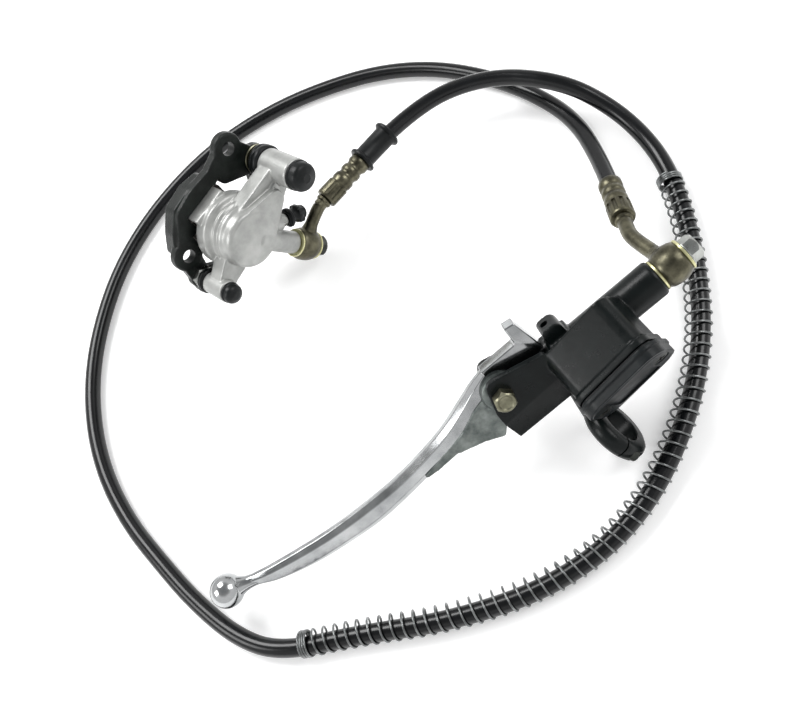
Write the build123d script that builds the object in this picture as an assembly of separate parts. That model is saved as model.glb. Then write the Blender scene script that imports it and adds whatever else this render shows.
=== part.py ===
"""Hydraulic disc brake: master cylinder with lever, hose, and sliding caliper.

Millimetres, +Z up. The set lies on a table as it would before it is fitted. The master cylinder and the
caliper are each built in a frame of their own and then placed; the hose runs between them.
"""
import math
import os

from build123d import *

# clearances
RUNNING_FIT = 0.05          # radial, turned parts that slide or turn
SEAT_GAP = 0.3              # between pieces that only rest on each other
SIDE_GAP = 0.5              # lever between its ears, each side

# where the two assemblies lie
TABLE_SHIFT = Vector(1.84, -1.01, -0.11)
MASTER_AT = Vector(32.3, -75.2, 48.2)
BORE_RISE = 11.2            # degrees, banjo end up
PERCH_ROLL = 53.3           # degrees about the bore
CALIPER_AT = Vector(-41.1, 111.0, 56.6)
CALIPER_HEADING = 22.0      # degrees about +Z
CALIPER_TILT = 80.8         # degrees, slide axis from vertical

# master cylinder: x along the bore, y to the front, z along the lever pivot
BORE_BACK = 10.0            # bore axis behind the pivot
TUBE_RADIUS = 10.0
TUBE_END = 94.0
MOUTH = 26.0
BORE_RADIUS = 6.35
PORT_DEPTH = 12.0           # threaded hole for the banjo bolt
BORE_WALL = 4.0             # between the bore and that hole
BORE_DEPTH = TUBE_END - PORT_DEPTH - BORE_WALL - MOUTH
EAR_INSIDE = 8.2
EAR_THICKNESS = 4.0
EAR_TOP = EAR_INSIDE + EAR_THICKNESS
PORT_RADIUS = 5.0           # thread of both banjo bolts

# handlebar clamp
BAR_RADIUS = 11.1
CLAMP_WALL = 7.2
CLAMP_WIDTH = 10.0
CLAMP_CENTRE = (29.1, -55.6, 13.3)
BAR_SWING = 13.5            # degrees, bar against bore in the lever plane
BAR_LEAN = 9.8              # degrees, bar out of the lever plane
CLAMP_SPLIT = 0.4           # half the gap between the two clamp halves
CLAMP_BOLT_RADIUS = 2.0
CLAMP_RADIUS = BAR_RADIUS + CLAMP_WALL

# reservoir: x along the cap, y across it, z out of the cap
RESERVOIR_AT = (49.9, -4.0, 8.0)
RESERVOIR_ROLL = 41.8       # degrees about the cap's length
POT_LENGTH = 45.0
POT_WIDTH = 27.4
POT_BOTTOM = -3.0
POT_TOP = 26.5
POT_WALL = 2.6
POT_FLOOR = 11.2
RIM_STEP = 1.3
CAP_LENGTH = POT_LENGTH + 6.0
CAP_WIDTH = POT_WIDTH + 4.8
CAP_THICKNESS = 7.0
DIAPHRAGM = 1.2
SCREW_SPACING = POT_LENGTH - 7.4
SCREW_RADIUS = 1.9
SCREW_HEAD = 3.5

# lever
LEVER_HALF = EAR_INSIDE - SIDE_GAP
PIVOT_RADIUS = 4.0
HUB_RADIUS = 10.0
CAM_RADIUS = 5.0
CAM_REACH = 15.4
BLADE_HALF = 4.8
HOOK_HALF = 4.0
FLARE_HALF = 6.2
BALL_RADIUS = 9.5
BALL_CENTRE = (-184.6, 11.0)
PIVOT_HEX = 10.0            # across flats
HEAD_HEIGHT = 5.5

# banjo fittings, the same at both ends
EYE_RADIUS = 10.0
EYE_WIDTH = 14.0
WASHER_RADIUS = 8.6
WASHER = 1.5
BANJO_HEX = 12.0
BANJO_HEAD = 7.0
NECK_RADIUS = 4.0
FERRULE_RADIUS = 6.2
FERRULE_LENGTH = 33.0
MASTER_NECK = 16.0          # straight neck before each ferrule
CALIPER_NECK = 7.0

# hose
HOSE_RADIUS = 5.0
GUARD_RADIUS = 7.6
GUARD_INSIDE = 5.2
GROMMET_RADIUS = 7.4
FLANGE_RADIUS = 11.6
GROMMET_LENGTH = 26.0

# caliper: x and y across the disc plane, z along the slide pins
UPPER_PIN = (43.0, 10.5)
LOWER_PIN = (-32.5, -11.0)
UPPER_LUG = (34.0, 30.5)
LOWER_LUG = (-28.5, 6.3)
LUG_HOLE = 4.2
PLATE = 6.0
HOUSING_RADIUS = 20.0
HOUSING_BACK = 3.0
HOUSING_FACE = 30.0
PISTON_RADIUS = 13.5
PISTON_DEPTH = 26.0
UPPER_BOSS = 9.5
LOWER_BOSS = 6.8
UPPER_BOSS_SPAN = (12.0, 38.0)
LOWER_BOSS_SPAN = (9.0, 27.0)
UPPER_PIN_RADIUS = 4.0
LOWER_PIN_RADIUS = 3.3
PORT_ANGLE = -61.4          # degrees, banjo boss
PORT_HEIGHT = 24.0
PORT_REACH = 36.5
PORT_BOSS = 7.0
BLEED_ANGLE = -32.0
BLEED_REACH = 24.0
BLEED_BOSS = 5.2
BRIDGE_HALF = 12.0
BRIDGE_INSIDE = 19.6
BRIDGE_THICKNESS = 3.4
PAD_HALF = 18.0
PAD_BOTTOM = -14.0
PAD_TOP = 12.0
PAD_PLATE = 3.5
LINING = 3.5
DISC_GAP = 5.0
PAD_FACE = 0.8              # back of the outer pad
CLAW = 5.6


def frame_of(at, *turns):
    """A placement: a point, then turns about the axes one after the other."""
    place = Pos(at)
    for turn in turns:
        place = place * Rot(*turn)
    return place


MASTER = frame_of(MASTER_AT + TABLE_SHIFT, (0, -BORE_RISE, 0), (PERCH_ROLL, 0, 0))
BAR = MASTER * frame_of(Vector(*CLAMP_CENTRE), (0, 0, BAR_SWING), (0, -BAR_LEAN, 0))
RESERVOIR = MASTER * frame_of(
    Vector(*RESERVOIR_AT), (0, 0, BAR_SWING), (0, -BAR_LEAN, 0), (RESERVOIR_ROLL, 0, 0)
)
CALIPER = frame_of(CALIPER_AT + TABLE_SHIFT, (0, 0, CALIPER_HEADING), (CALIPER_TILT, 0, 0))


def rod(start, end, radius):
    """A round bar between two points."""
    run = Vector(*end) - Vector(*start)
    return Plane(origin=start, z_dir=run) * Pos(0, 0, run.length / 2) * Cylinder(radius, run.length)


def ring(start, end, radius, bore):
    return rod(start, end, radius) - rod(start, end, bore)


def hexagon(start, end, flats):
    run = Vector(*end) - Vector(*start)
    return Plane(origin=start, z_dir=run) * extrude(RegularPolygon(flats / math.sqrt(3), 6), run.length)


def box(x, y, z):
    """A block from three (low, high) pairs."""
    size = [high - low for low, high in (x, y, z)]
    middle = [(high + low) / 2 for low, high in (x, y, z)]
    return Pos(*middle) * Box(*size)


def slab(points, low, high):
    """A flat plate with straight sides between two heights."""
    return Pos(0, 0, low) * extrude(make_face(Polyline(*points, close=True)), high - low)


def link(first, second, low, high):
    """The plate round two discs, each (x, y, radius), with straight sides."""
    (x1, y1, r1), (x2, y2, r2) = first, second
    outline = make_hull(
        [Pos(x1, y1) * Circle(r1).edge(), Pos(x2, y2) * Circle(r2).edge()]
    )
    return Pos(0, 0, low) * extrude(outline, high - low)


def chain(discs, low, high):
    """Plates linking a row of discs."""
    plate = link(discs[0], discs[1], low, high)
    for first, second in zip(discs[1:], discs[2:]):
        plate += link(first, second, low, high)
    return plate


def rounded_block(length, width, low, high, corner, middle=0):
    outline = RectangleRounded(length, width, corner)
    return Pos(middle, 0, low) * extrude(outline, high - low)


def polar(angle, reach, height=0.0):
    turn = math.radians(angle)
    return (reach * math.cos(turn), reach * math.sin(turn), height)


def along_bore(x):
    return (x, -BORE_BACK, 0)


# master cylinder

def clamp_ring(side):
    """One half of the handlebar clamp in the bar's frame, bored for the bar."""
    half = CLAMP_WIDTH / 2
    whole = rod((-half, 0, 0), (half, 0, 0), CLAMP_RADIUS)
    whole = fillet(whole.edges().filter_by(GeomType.CIRCLE), 2.0)
    whole -= rod((-half, 0, 0), (half, 0, 0), BAR_RADIUS)
    reach = CLAMP_RADIUS + 1
    span = (CLAMP_SPLIT, reach) if side > 0 else (-reach, -CLAMP_SPLIT)
    return whole & box((-half, half), span, (-reach, reach))


def clamp_bolt_heights():
    middle = BAR_RADIUS + CLAMP_WALL / 2
    return (-middle, middle)


HEAD_SEAT = 5.5             # clamp bolt head, behind the split
CLAMP_BOLT_TIP = 10.0
CLAMP_HEAD_RADIUS = 3.1


def master_cylinder_body():
    tube = rod(along_bore(MOUTH), along_bore(TUBE_END), TUBE_RADIUS)
    tube = chamfer(tube.edges().group_by(Axis.X)[-1], 0.8)
    ears = [(33, 3.5), (-2.6, 12.3), (-8.7, -5.6), (-8.5, -26), (20, -26), (33, -14)]
    fork = slab(ears, -EAR_TOP, EAR_TOP)
    fork = fillet(fork.edges().filter_by(Axis.Z).sort_by(Axis.X)[:3], 5.0)
    fork = chamfer(fork.faces().sort_by(Axis.Z)[-1].edges() + fork.faces().sort_by(Axis.Z)[0].edges(), 0.8)
    crease = make_face(Polyline((-13, EAR_TOP + 1), (-28, EAR_TOP + 1), (-28, EAR_TOP - 2.6), close=True))
    for side in (crease, mirror(crease, Plane.XZ)):
        fork -= Plane.YZ * Pos(0, 0, -12) * extrude(side, 60)
    slot = box((-12, MOUTH), (-30, 20), (-EAR_INSIDE, EAR_INSIDE))
    slot += box((MOUTH - 1, 40), (-BORE_BACK + TUBE_RADIUS, 20), (-EAR_INSIDE, EAR_INSIDE))
    fork -= slot
    web = box((4, MOUTH + 6), (-27, -20), (-EAR_INSIDE - 1, EAR_INSIDE + 1))
    block = box((MOUTH, 36), (-24, -BORE_BACK + TUBE_RADIUS - 0.5), (-EAR_TOP, EAR_TOP))
    lug = box((33.5, 43), (-8, 8.5), (-5.5, 5.5))
    lug = fillet(lug.edges().filter_by(Axis.Z).group_by(Axis.Y)[-1], 2.0)
    body = fork + web + block + tube + lug
    pot = rounded_block(POT_LENGTH, POT_WIDTH, POT_BOTTOM, POT_TOP, 7)
    pot += rounded_block(POT_LENGTH + 2 * RIM_STEP, POT_WIDTH + 2 * RIM_STEP, POT_TOP - 4, POT_TOP, 7)
    to_master = MASTER.inverse() * RESERVOIR
    body += to_master * pot
    saddle = clamp_ring(1)
    bar_in_master = MASTER.inverse() * BAR
    arm_foot = (31, -BORE_BACK - 6, 1)
    arm_head = bar_in_master * Pos(0, BAR_RADIUS + 3.0, -4)
    arm = rod(arm_foot, tuple(arm_head.position), 4.9)
    body += arm
    body += bar_in_master * saddle
    body -= bar_in_master * rod((-30, 0, 0), (30, 0, 0), BAR_RADIUS)
    for height in clamp_bolt_heights():
        hole = rod((0, 0, height), (0, CLAMP_BOLT_TIP + 2, height), CLAMP_BOLT_RADIUS + RUNNING_FIT)
        body -= bar_in_master * hole
    body -= box((-12, MOUTH), (-20, 20), (-EAR_INSIDE, EAR_INSIDE))
    body -= rod(along_bore(MOUTH - 1), along_bore(MOUTH + BORE_DEPTH), BORE_RADIUS)
    body -= rod(along_bore(TUBE_END - PORT_DEPTH), along_bore(TUBE_END + 1), PORT_RADIUS + RUNNING_FIT)
    body -= rod(along_bore(MOUTH), along_bore(TUBE_END), 1.6)
    cavity = rounded_block(SCREW_SPACING - 9, POT_WIDTH - 2 * POT_WALL, POT_FLOOR, POT_TOP, 4)
    body -= to_master * cavity
    body -= to_master * rod((-8, -6, 0), (-8, -6, POT_FLOOR), 1.0)
    for end in (-1, 1):
        where = end * SCREW_SPACING / 2
        body -= to_master * rod((where, 0, POT_TOP - 11), (where, 0, POT_TOP), SCREW_RADIUS + RUNNING_FIT)
    body -= rod((0, 0, -EAR_TOP), (0, 0, EAR_TOP), PIVOT_RADIUS + RUNNING_FIT)
    body -= rod((38, -2, 0), (38, 9, 0), 2.2)
    return MASTER * body


def reservoir_diaphragm():
    flange = rounded_block(POT_LENGTH, POT_WIDTH, POT_TOP, POT_TOP + DIAPHRAGM, 6)
    inner_length = SCREW_SPACING - 9 - 2 * SEAT_GAP
    inner_width = POT_WIDTH - 2 * POT_WALL - 2 * SEAT_GAP
    cup = rounded_block(inner_length, inner_width, POT_TOP - 6, POT_TOP + DIAPHRAGM, 3.6)
    hollow = rounded_block(
        inner_length - 2 * DIAPHRAGM, inner_width - 2 * DIAPHRAGM, POT_TOP - 6 + DIAPHRAGM, POT_TOP + 2, 2.5
    )
    seal = flange + cup - hollow
    for end in (-1, 1):
        where = end * SCREW_SPACING / 2
        seal -= rod((where, 0, POT_TOP - 1), (where, 0, POT_TOP + 2), SCREW_RADIUS + 0.3)
    return RESERVOIR * seal


def reservoir_cap():
    low = POT_TOP + DIAPHRAGM
    high = low + CAP_THICKNESS
    cap = rounded_block(CAP_LENGTH, CAP_WIDTH, low, low + 2.4, 9)
    cap += rounded_block(CAP_LENGTH - 2, CAP_WIDTH - 2, low + 2.4, high, 9)
    cap = fillet(cap.edges().group_by(Axis.Z)[-1], 1.2)
    cap -= rounded_block(SCREW_SPACING - 9, CAP_WIDTH - 7, high - 0.8, high + 1, 3)
    cap -= rounded_block(SCREW_SPACING - 9, CAP_WIDTH - 12, low - 1, high - 2.6, 3)
    for end in (-1, 1):
        where = end * SCREW_SPACING / 2
        cap -= rod((where, 0, low - 1), (where, 0, high), SCREW_RADIUS + 0.3)
        cap -= Pos(where, 0, high - 1.2) * Cone(SCREW_RADIUS + 0.3, SCREW_HEAD + 0.5, 2.4)
    return RESERVOIR * cap


def cap_screws():
    high = POT_TOP + DIAPHRAGM + CAP_THICKNESS
    screws = []
    for end in (-1, 1):
        where = end * SCREW_SPACING / 2
        screw = rod((where, 0, POT_TOP - 10.5), (where, 0, high - 1.2), SCREW_RADIUS)
        head = Pos(where, 0, high - 1.3) * Cone(SCREW_RADIUS, SCREW_HEAD, 1.9)
        screw += head
        top = high - 0.35
        screw -= box((where - 2, where + 2), (-0.4, 0.4), (top - 1.2, top + 1))
        screw -= box((where - 0.4, where + 0.4), (-2, 2), (top - 1.2, top + 1))
        screws.append(RESERVOIR * screw)
    return screws


def handlebar_clamp():
    half = clamp_ring(-1)
    for height in clamp_bolt_heights():
        half -= rod((0, 0, height), (0, -CLAMP_RADIUS, height), CLAMP_BOLT_RADIUS + 0.1)
        half -= rod((0, -HEAD_SEAT, height), (0, -CLAMP_RADIUS - 5, height), CLAMP_HEAD_RADIUS + 0.3)
    return BAR * half


def clamp_bolts():
    bolts = []
    for height in clamp_bolt_heights():
        bolt = rod((0, -HEAD_SEAT, height), (0, CLAMP_BOLT_TIP, height), CLAMP_BOLT_RADIUS)
        head = rod((0, -HEAD_SEAT - 4.0, height), (0, -HEAD_SEAT, height), CLAMP_HEAD_RADIUS)
        head -= hexagon((0, -HEAD_SEAT - 4.1, height), (0, -HEAD_SEAT - 1.8, height), 3.6)
        bolts.append(BAR * (bolt + head))
    return bolts


def lever_outline_blade():
    """The blade seen along the pivot: two long curves from the hub to the ball's neck."""
    upper = Spline((-26, 5.0), (-40, 0.5), (-71, -2.6), (-106, -1.9), (-139, 2.4), (-168, 9.0))
    lower = Spline((-168, 2.0), (-133, -11.5), (-92, -16.6), (-51, -12.5), (-34, -13.5), (-24, -20.0))
    return make_face([upper, Line((-168, 9.0), (-168, 2.0)), lower, Line((-24, -20.0), (-26, 5.0))])


def brake_lever():
    plate = [
        (31, 2.5), (28, 23.5), (22, 24.5), (21.6, 14), (-1.6, 14.1), (-16, 8.3), (-28, 4.2),
        (-27, -14), (-4, -11), (6, -9), (19, -2.5), (24, 0),
    ]
    hub = slab(plate, -HOOK_HALF, HOOK_HALF)
    hub += slab([(-4, 4), (-28, 3), (-30, -15.5), (-17, -23.5), (-6, -12)], -FLARE_HALF, FLARE_HALF)
    hub += link((0, 0, HUB_RADIUS), (CAM_REACH, -BORE_BACK, CAM_RADIUS), -LEVER_HALF, LEVER_HALF)
    blade = Pos(0, 0, -BLADE_HALF) * extrude(lever_outline_blade(), 2 * BLADE_HALF)
    ball = Pos(*BALL_CENTRE, 0) * Rot(0, 0, 180) * Sphere(BALL_RADIUS)
    neck = rod((-164, 4.8, 0), (*BALL_CENTRE, 0), 4.2)
    lever = hub + blade + neck + ball
    lever -= rod((0, 0, -LEVER_HALF), (0, 0, LEVER_HALF), PIVOT_RADIUS + RUNNING_FIT)
    return MASTER * lever


def lever_pivot_bolt():
    bolt = rod((0, 0, -EAR_TOP), (0, 0, EAR_TOP), PIVOT_RADIUS)
    bolt += rod((0, 0, -EAR_TOP - 7), (0, 0, -EAR_TOP), PIVOT_RADIUS - 1)
    bolt += hexagon((0, 0, EAR_TOP), (0, 0, EAR_TOP + HEAD_HEIGHT), PIVOT_HEX)
    return MASTER * bolt


def lever_pivot_nut():
    nut = hexagon((0, 0, -EAR_TOP - 5), (0, 0, -EAR_TOP), PIVOT_HEX)
    nut -= rod((0, 0, -EAR_TOP - 6), (0, 0, -EAR_TOP + 1), PIVOT_RADIUS - 1 + RUNNING_FIT)
    return MASTER * nut


NOSE = CAM_REACH + CAM_RADIUS + SEAT_GAP
NOSE_RADIUS = 4.0
LAND = BORE_RADIUS - RUNNING_FIT
CUP_ONE = MOUTH + 12.0
CUP_TWO = MOUTH + 22.0
CUP = 3.0
CUP_CORE = 3.6
PISTON_END = CUP_TWO + CUP + 1.2
SPRING_END = MOUTH + BORE_DEPTH - SEAT_GAP - 3.0     # room for the stroke
SPRING_PITCH = 3.17
CIRCLIP = MOUTH + 3.0


def master_piston():
    piston = rod(along_bore(NOSE), along_bore(CIRCLIP + 2), NOSE_RADIUS)
    piston += rod(along_bore(CIRCLIP + 2), along_bore(PISTON_END), LAND)
    for cup in (CUP_ONE, CUP_TWO):
        piston -= ring(along_bore(cup), along_bore(cup + CUP), LAND + 1, CUP_CORE)
    piston += rod(along_bore(PISTON_END), along_bore(PISTON_END + 5), 2.4)
    return MASTER * piston


def piston_cup(start):
    inner = CUP_CORE + RUNNING_FIT
    return MASTER * ring(along_bore(start + 0.1), along_bore(start + CUP - 0.1), LAND, inner)


def master_return_spring():
    start = PISTON_END + SEAT_GAP
    length = SPRING_END - start
    coil = Helix(pitch=SPRING_PITCH, height=length - 1, radius=4.2)
    wire = Plane(origin=coil @ 0, z_dir=coil % 0) * Circle(0.5)
    spring = sweep(wire, path=coil)
    return MASTER * Plane(origin=along_bore(start + 0.5), z_dir=(1, 0, 0)).location * spring


def piston_circlip():
    groove = ring(along_bore(CIRCLIP), along_bore(CIRCLIP + 1), BORE_RADIUS - 0.02, NOSE_RADIUS + 0.4)
    return MASTER * (groove - box((CIRCLIP - 1, CIRCLIP + 2), (-BORE_BACK, 0), (-1.5, 1.5)))


def piston_boot():
    boot = ring(along_bore(MOUTH + 0.4), along_bore(MOUTH + 2.4), BORE_RADIUS - 0.05, NOSE_RADIUS + 0.15)
    boot += ring(along_bore(MOUTH - 2.2), along_bore(MOUTH + 0.4), NOSE_RADIUS + 1.2, NOSE_RADIUS + 0.15)
    return MASTER * boot


# banjo fittings and hose

def fitting_stack(seat, axis):
    """Named places along a banjo bolt: first washer, eye, second washer, head."""
    places = {}
    at = seat
    for name, width in (("inner", WASHER), ("eye", EYE_WIDTH), ("outer", WASHER), ("head", BANJO_HEAD)):
        places[name] = (at, at + axis * width)
        at = at + axis * width
    return places


MASTER_SEAT = Vector(*(MASTER * Pos(*along_bore(TUBE_END))).position)
MASTER_AXIS = (Vector(*(MASTER * Pos(*along_bore(TUBE_END + 1))).position) - MASTER_SEAT).normalized()
CALIPER_SEAT = Vector(*(CALIPER * Pos(*polar(PORT_ANGLE, PORT_REACH, PORT_HEIGHT))).position)
CALIPER_PORT = Vector(*(CALIPER * Pos(*polar(PORT_ANGLE, 0, PORT_HEIGHT))).position)
CALIPER_AXIS = (CALIPER_SEAT - CALIPER_PORT).normalized()
MASTER_STACK = fitting_stack(MASTER_SEAT, MASTER_AXIS)
CALIPER_STACK = fitting_stack(CALIPER_SEAT, CALIPER_AXIS)

# the hose's route, chosen by eye: master end first, then round the big loop to the caliper end
HOSE_START = [              # the first two points, from the seat of the master's fitting
    (24.333, 72.876, -28.593),
    (33.733, 95.876, -38.593),
]
ROUTE = [
    (170.5, 56.0, 9.0),
    (164.5, 95.0, 5.3),
    (148.5, 131.0, 5.3),
    (127.5, 161.5, 5.3),
    (99.5, 186.0, 5.3),
    (66.9, 202.8, 5.3),
    (30.7, 215.2, 5.3),
    (-10.9, 220.7, 5.3),
    (-49.0, 216.8, 5.3),
    (-89.2, 203.9, 5.3),
    (-125.4, 182.6, 5.3),
    (-154.6, 153.4, 5.3),
    (-176.9, 120.2, 5.3),
    (-190.8, 83.0, 5.3),
    (-196.0, 46.4, 5.3),
    (-193.5, 10.0, 5.3),
    (-186.5, -20.0, 5.3),
    (-177.0, -55.0, 5.3),
    (-162.4, -89.0, 5.9),
    (-143.2, -110.0, 7.4),
    (-104.0, -125.5, 8.2),
    (-56.0, -148.5, 8.2),
    (-3.0, -163.5, 8.2),
    (46.5, -161.5, 8.2),
    (93.5, -140.0, 8.2),
    (134.0, -106.5, 8.2),
    (163.5, -64.5, 8.2),
    (184.0, -22.0, 8.2),
    (192.5, 10.0, 8.2),
    (190.0, 43.0, 14.0),
    (174.5, 73.0, 27.0),
    (143.5, 110.5, 27.0),
    (96.0, 123.5, 28.0),
    (49.0, 110.5, 30.0),
]
GUARD_LEAD = (0.7, 0.48)    # share of the run beside each end that it covers


def route_points():
    return [MASTER_SEAT + Vector(*point) for point in HOSE_START] + [Vector(*point) + TABLE_SHIFT for point in ROUTE]


def corner_radii(points):
    """The largest arc that each corner's two runs allow."""
    radii = []
    for before, corner, after in zip(points, points[1:], points[2:]):
        turn = (corner - before).get_angle(after - corner)
        shorter = min((corner - before).length, (after - corner).length)
        radii.append(0.45 * shorter / math.tan(math.radians(turn) / 2))
    return radii


def pipe(points, radii, radius, bore=0.0):
    """A tube of straight runs joined by tangent arcs."""
    path = FilletPolyline(*points, radius=radii)
    section = Plane(origin=path @ 0, z_dir=path % 0) * Circle(radius)
    tube = sweep(section, path=path)
    if bore:
        core = Plane(origin=path @ 0, z_dir=path % 0) * Circle(bore)
        tube -= sweep(core, path=path)
    return tube, path


def brake_hose():
    points = route_points()
    radii = corner_radii(points)
    hose, path = pipe(points, radii, HOSE_RADIUS)
    print("hose radii", [round(radius) for radius in radii])
    print("hose length", round(path.length, 1), "volume share",
          round(hose.volume / (math.pi * HOSE_RADIUS ** 2 * path.length), 4))
    return hose


def hose_spring_guard():
    points = route_points()
    corners = points[22:30]                # the corners that the guard goes round
    radii = corner_radii(points)[21:29]
    first = corners[0] + (points[21] - corners[0]) * GUARD_LEAD[0]
    last = corners[-1] + (points[30] - corners[-1]) * GUARD_LEAD[1]
    guard, path = pipe([first, *corners, last], radii, GUARD_RADIUS, GUARD_INSIDE)
    print("guard length", round(path.length, 1))
    return guard


def hose_grommet():
    """A rubber bobbin in the middle of the last run."""
    points = route_points()
    start = points[-1]
    towards = (points[-2] - start).normalized()
    near = start + towards * SEAT_GAP
    far = near + towards * GROMMET_LENGTH
    bobbin = rod(near, far, GROMMET_RADIUS)
    for place in (2.5, GROMMET_LENGTH - 6.5):
        bobbin += rod(near + towards * place, near + towards * (place + 4), FLANGE_RADIUS)
    return bobbin - rod(start, far + towards * 5, HOSE_RADIUS + RUNNING_FIT)


def crimp_ferrule(end, beside):
    """The crimped sleeve that ends the hose, in line with its last run."""
    away = (end - beside).normalized()
    sleeve = rod(end, end + away * FERRULE_LENGTH, FERRULE_RADIUS)
    for place in (7.0, 15.0):
        groove = ring(end + away * place, end + away * (place + 3), FERRULE_RADIUS + 1, FERRULE_RADIUS - 0.9)
        sleeve -= groove
    sleeve = sleeve + hexagon(end + away * 20.5, end + away * FERRULE_LENGTH, 2 * FERRULE_RADIUS + 1.0)
    return sleeve


def banjo_fitting(stack, end, beside, neck_run):
    """Eye with flat faces, and the bent neck that runs to the ferrule."""
    inner, outer = stack["eye"]
    middle = (inner + outer) * 0.5
    away = (end - beside).normalized()
    mouth = end + away * FERRULE_LENGTH
    corner = mouth + away * neck_run
    across = (outer - inner).normalized()
    eye = Pos(middle) * Sphere(EYE_RADIUS)
    keep = rod(inner, outer, EYE_RADIUS + 1)
    eye = eye & keep
    neck = rod(mouth, corner, NECK_RADIUS) + rod(corner, middle, NECK_RADIUS) + Pos(corner) * Sphere(NECK_RADIUS)
    fitting = eye + neck
    return fitting - rod(inner - across, outer + across, PORT_RADIUS + 0.3)


def banjo_washers(stack):
    return [
        ring(stack[name][0], stack[name][1], WASHER_RADIUS, PORT_RADIUS + 0.3) for name in ("inner", "outer")
    ]


def banjo_bolt(stack, depth):
    seat = stack["inner"][0]
    axis = (stack["head"][1] - seat).normalized()
    under_head, top = stack["head"]
    bolt = rod(seat - axis * depth, under_head, PORT_RADIUS)
    bolt += hexagon(under_head, top, BANJO_HEX)
    return bolt - rod(seat - axis * (depth + 1), seat + axis * 12, 1.6)


# caliper

PIN_TIP_GAP = 3.0
DUST_SEAL_AT = HOUSING_BACK + 1.4
SEAL_AT = HOUSING_BACK + 5.0
SEAL_OUT = 2.4
OUTER_PLATE = (PAD_FACE - PAD_PLATE, PAD_FACE)
OUTER_LINING = (OUTER_PLATE[0] - LINING, OUTER_PLATE[0])
INNER_LINING = (OUTER_LINING[0] - DISC_GAP - LINING, OUTER_LINING[0] - DISC_GAP)
INNER_PLATE = (INNER_LINING[0] - PAD_PLATE, INNER_LINING[0])
CLAW_FRONT = INNER_PLATE[0] - SEAT_GAP


def caliper_body():
    body = rod((0, 0, HOUSING_BACK), (0, 0, 14), HOUSING_RADIUS)
    for low, high, radius in ((14, 20, 19.0), (20, 25, 18.0), (25, HOUSING_FACE, 17.2)):
        body += rod((0, 0, low), (0, 0, high), radius)
    body += link((0, 0, 17.2), (26, 4, 7.0), 19, HOUSING_FACE)
    body += link((0, 0, 14.0), (*UPPER_PIN, 6.5), 14, 27)
    body += link((0, 0, 12.0), (*LOWER_PIN, 4.6), 12, 24)
    body += rod((*UPPER_PIN, UPPER_BOSS_SPAN[0]), (*UPPER_PIN, UPPER_BOSS_SPAN[1]), UPPER_BOSS)
    body += rod((*LOWER_PIN, LOWER_BOSS_SPAN[0]), (*LOWER_PIN, LOWER_BOSS_SPAN[1]), LOWER_BOSS)
    body += rod(polar(PORT_ANGLE, 8, PORT_HEIGHT), polar(PORT_ANGLE, PORT_REACH, PORT_HEIGHT), PORT_BOSS)
    body += rod(polar(BLEED_ANGLE, 8, PORT_HEIGHT), polar(BLEED_ANGLE, BLEED_REACH, PORT_HEIGHT), BLEED_BOSS)
    bridge_top = BRIDGE_INSIDE + BRIDGE_THICKNESS
    claw_back = CLAW_FRONT - CLAW
    body += box((-BRIDGE_HALF, BRIDGE_HALF), (BRIDGE_INSIDE, bridge_top), (claw_back, HOUSING_BACK + 5))
    body += box((-BRIDGE_HALF, BRIDGE_HALF), (10, bridge_top), (HOUSING_BACK, HOUSING_BACK + 5))
    body += box((-BRIDGE_HALF, BRIDGE_HALF), (PAD_BOTTOM + 2, bridge_top), (claw_back, CLAW_FRONT))
    body -= rod((0, 0, HOUSING_BACK - 1), (0, 0, PISTON_DEPTH), PISTON_RADIUS + RUNNING_FIT)
    body -= rod((0, 0, DUST_SEAL_AT), (0, 0, DUST_SEAL_AT + 2), PISTON_RADIUS + 1.6)
    body -= rod((0, 0, SEAL_AT), (0, 0, SEAL_AT + 3), PISTON_RADIUS + SEAL_OUT)
    body -= rod(polar(PORT_ANGLE, 10, PORT_HEIGHT), polar(PORT_ANGLE, PORT_REACH, PORT_HEIGHT), 1.6)
    body -= rod(
        polar(PORT_ANGLE, PORT_REACH - 12, PORT_HEIGHT),
        polar(PORT_ANGLE, PORT_REACH + 1, PORT_HEIGHT),
        PORT_RADIUS + RUNNING_FIT,
    )
    body -= rod(polar(BLEED_ANGLE, 10, PORT_HEIGHT), polar(BLEED_ANGLE, BLEED_REACH, PORT_HEIGHT), 1.2)
    body -= rod(
        polar(BLEED_ANGLE, BLEED_REACH - 6, PORT_HEIGHT),
        polar(BLEED_ANGLE, BLEED_REACH + 1, PORT_HEIGHT),
        3.0 + RUNNING_FIT,
    )
    body -= rod((*UPPER_PIN, 0), (*UPPER_PIN, UPPER_BOSS_SPAN[1] + 1), UPPER_PIN_RADIUS + RUNNING_FIT)
    body -= rod((*LOWER_PIN, 0), (*LOWER_PIN, LOWER_BOSS_SPAN[1] + 1), LOWER_PIN_RADIUS + RUNNING_FIT)
    return CALIPER * body


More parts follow.
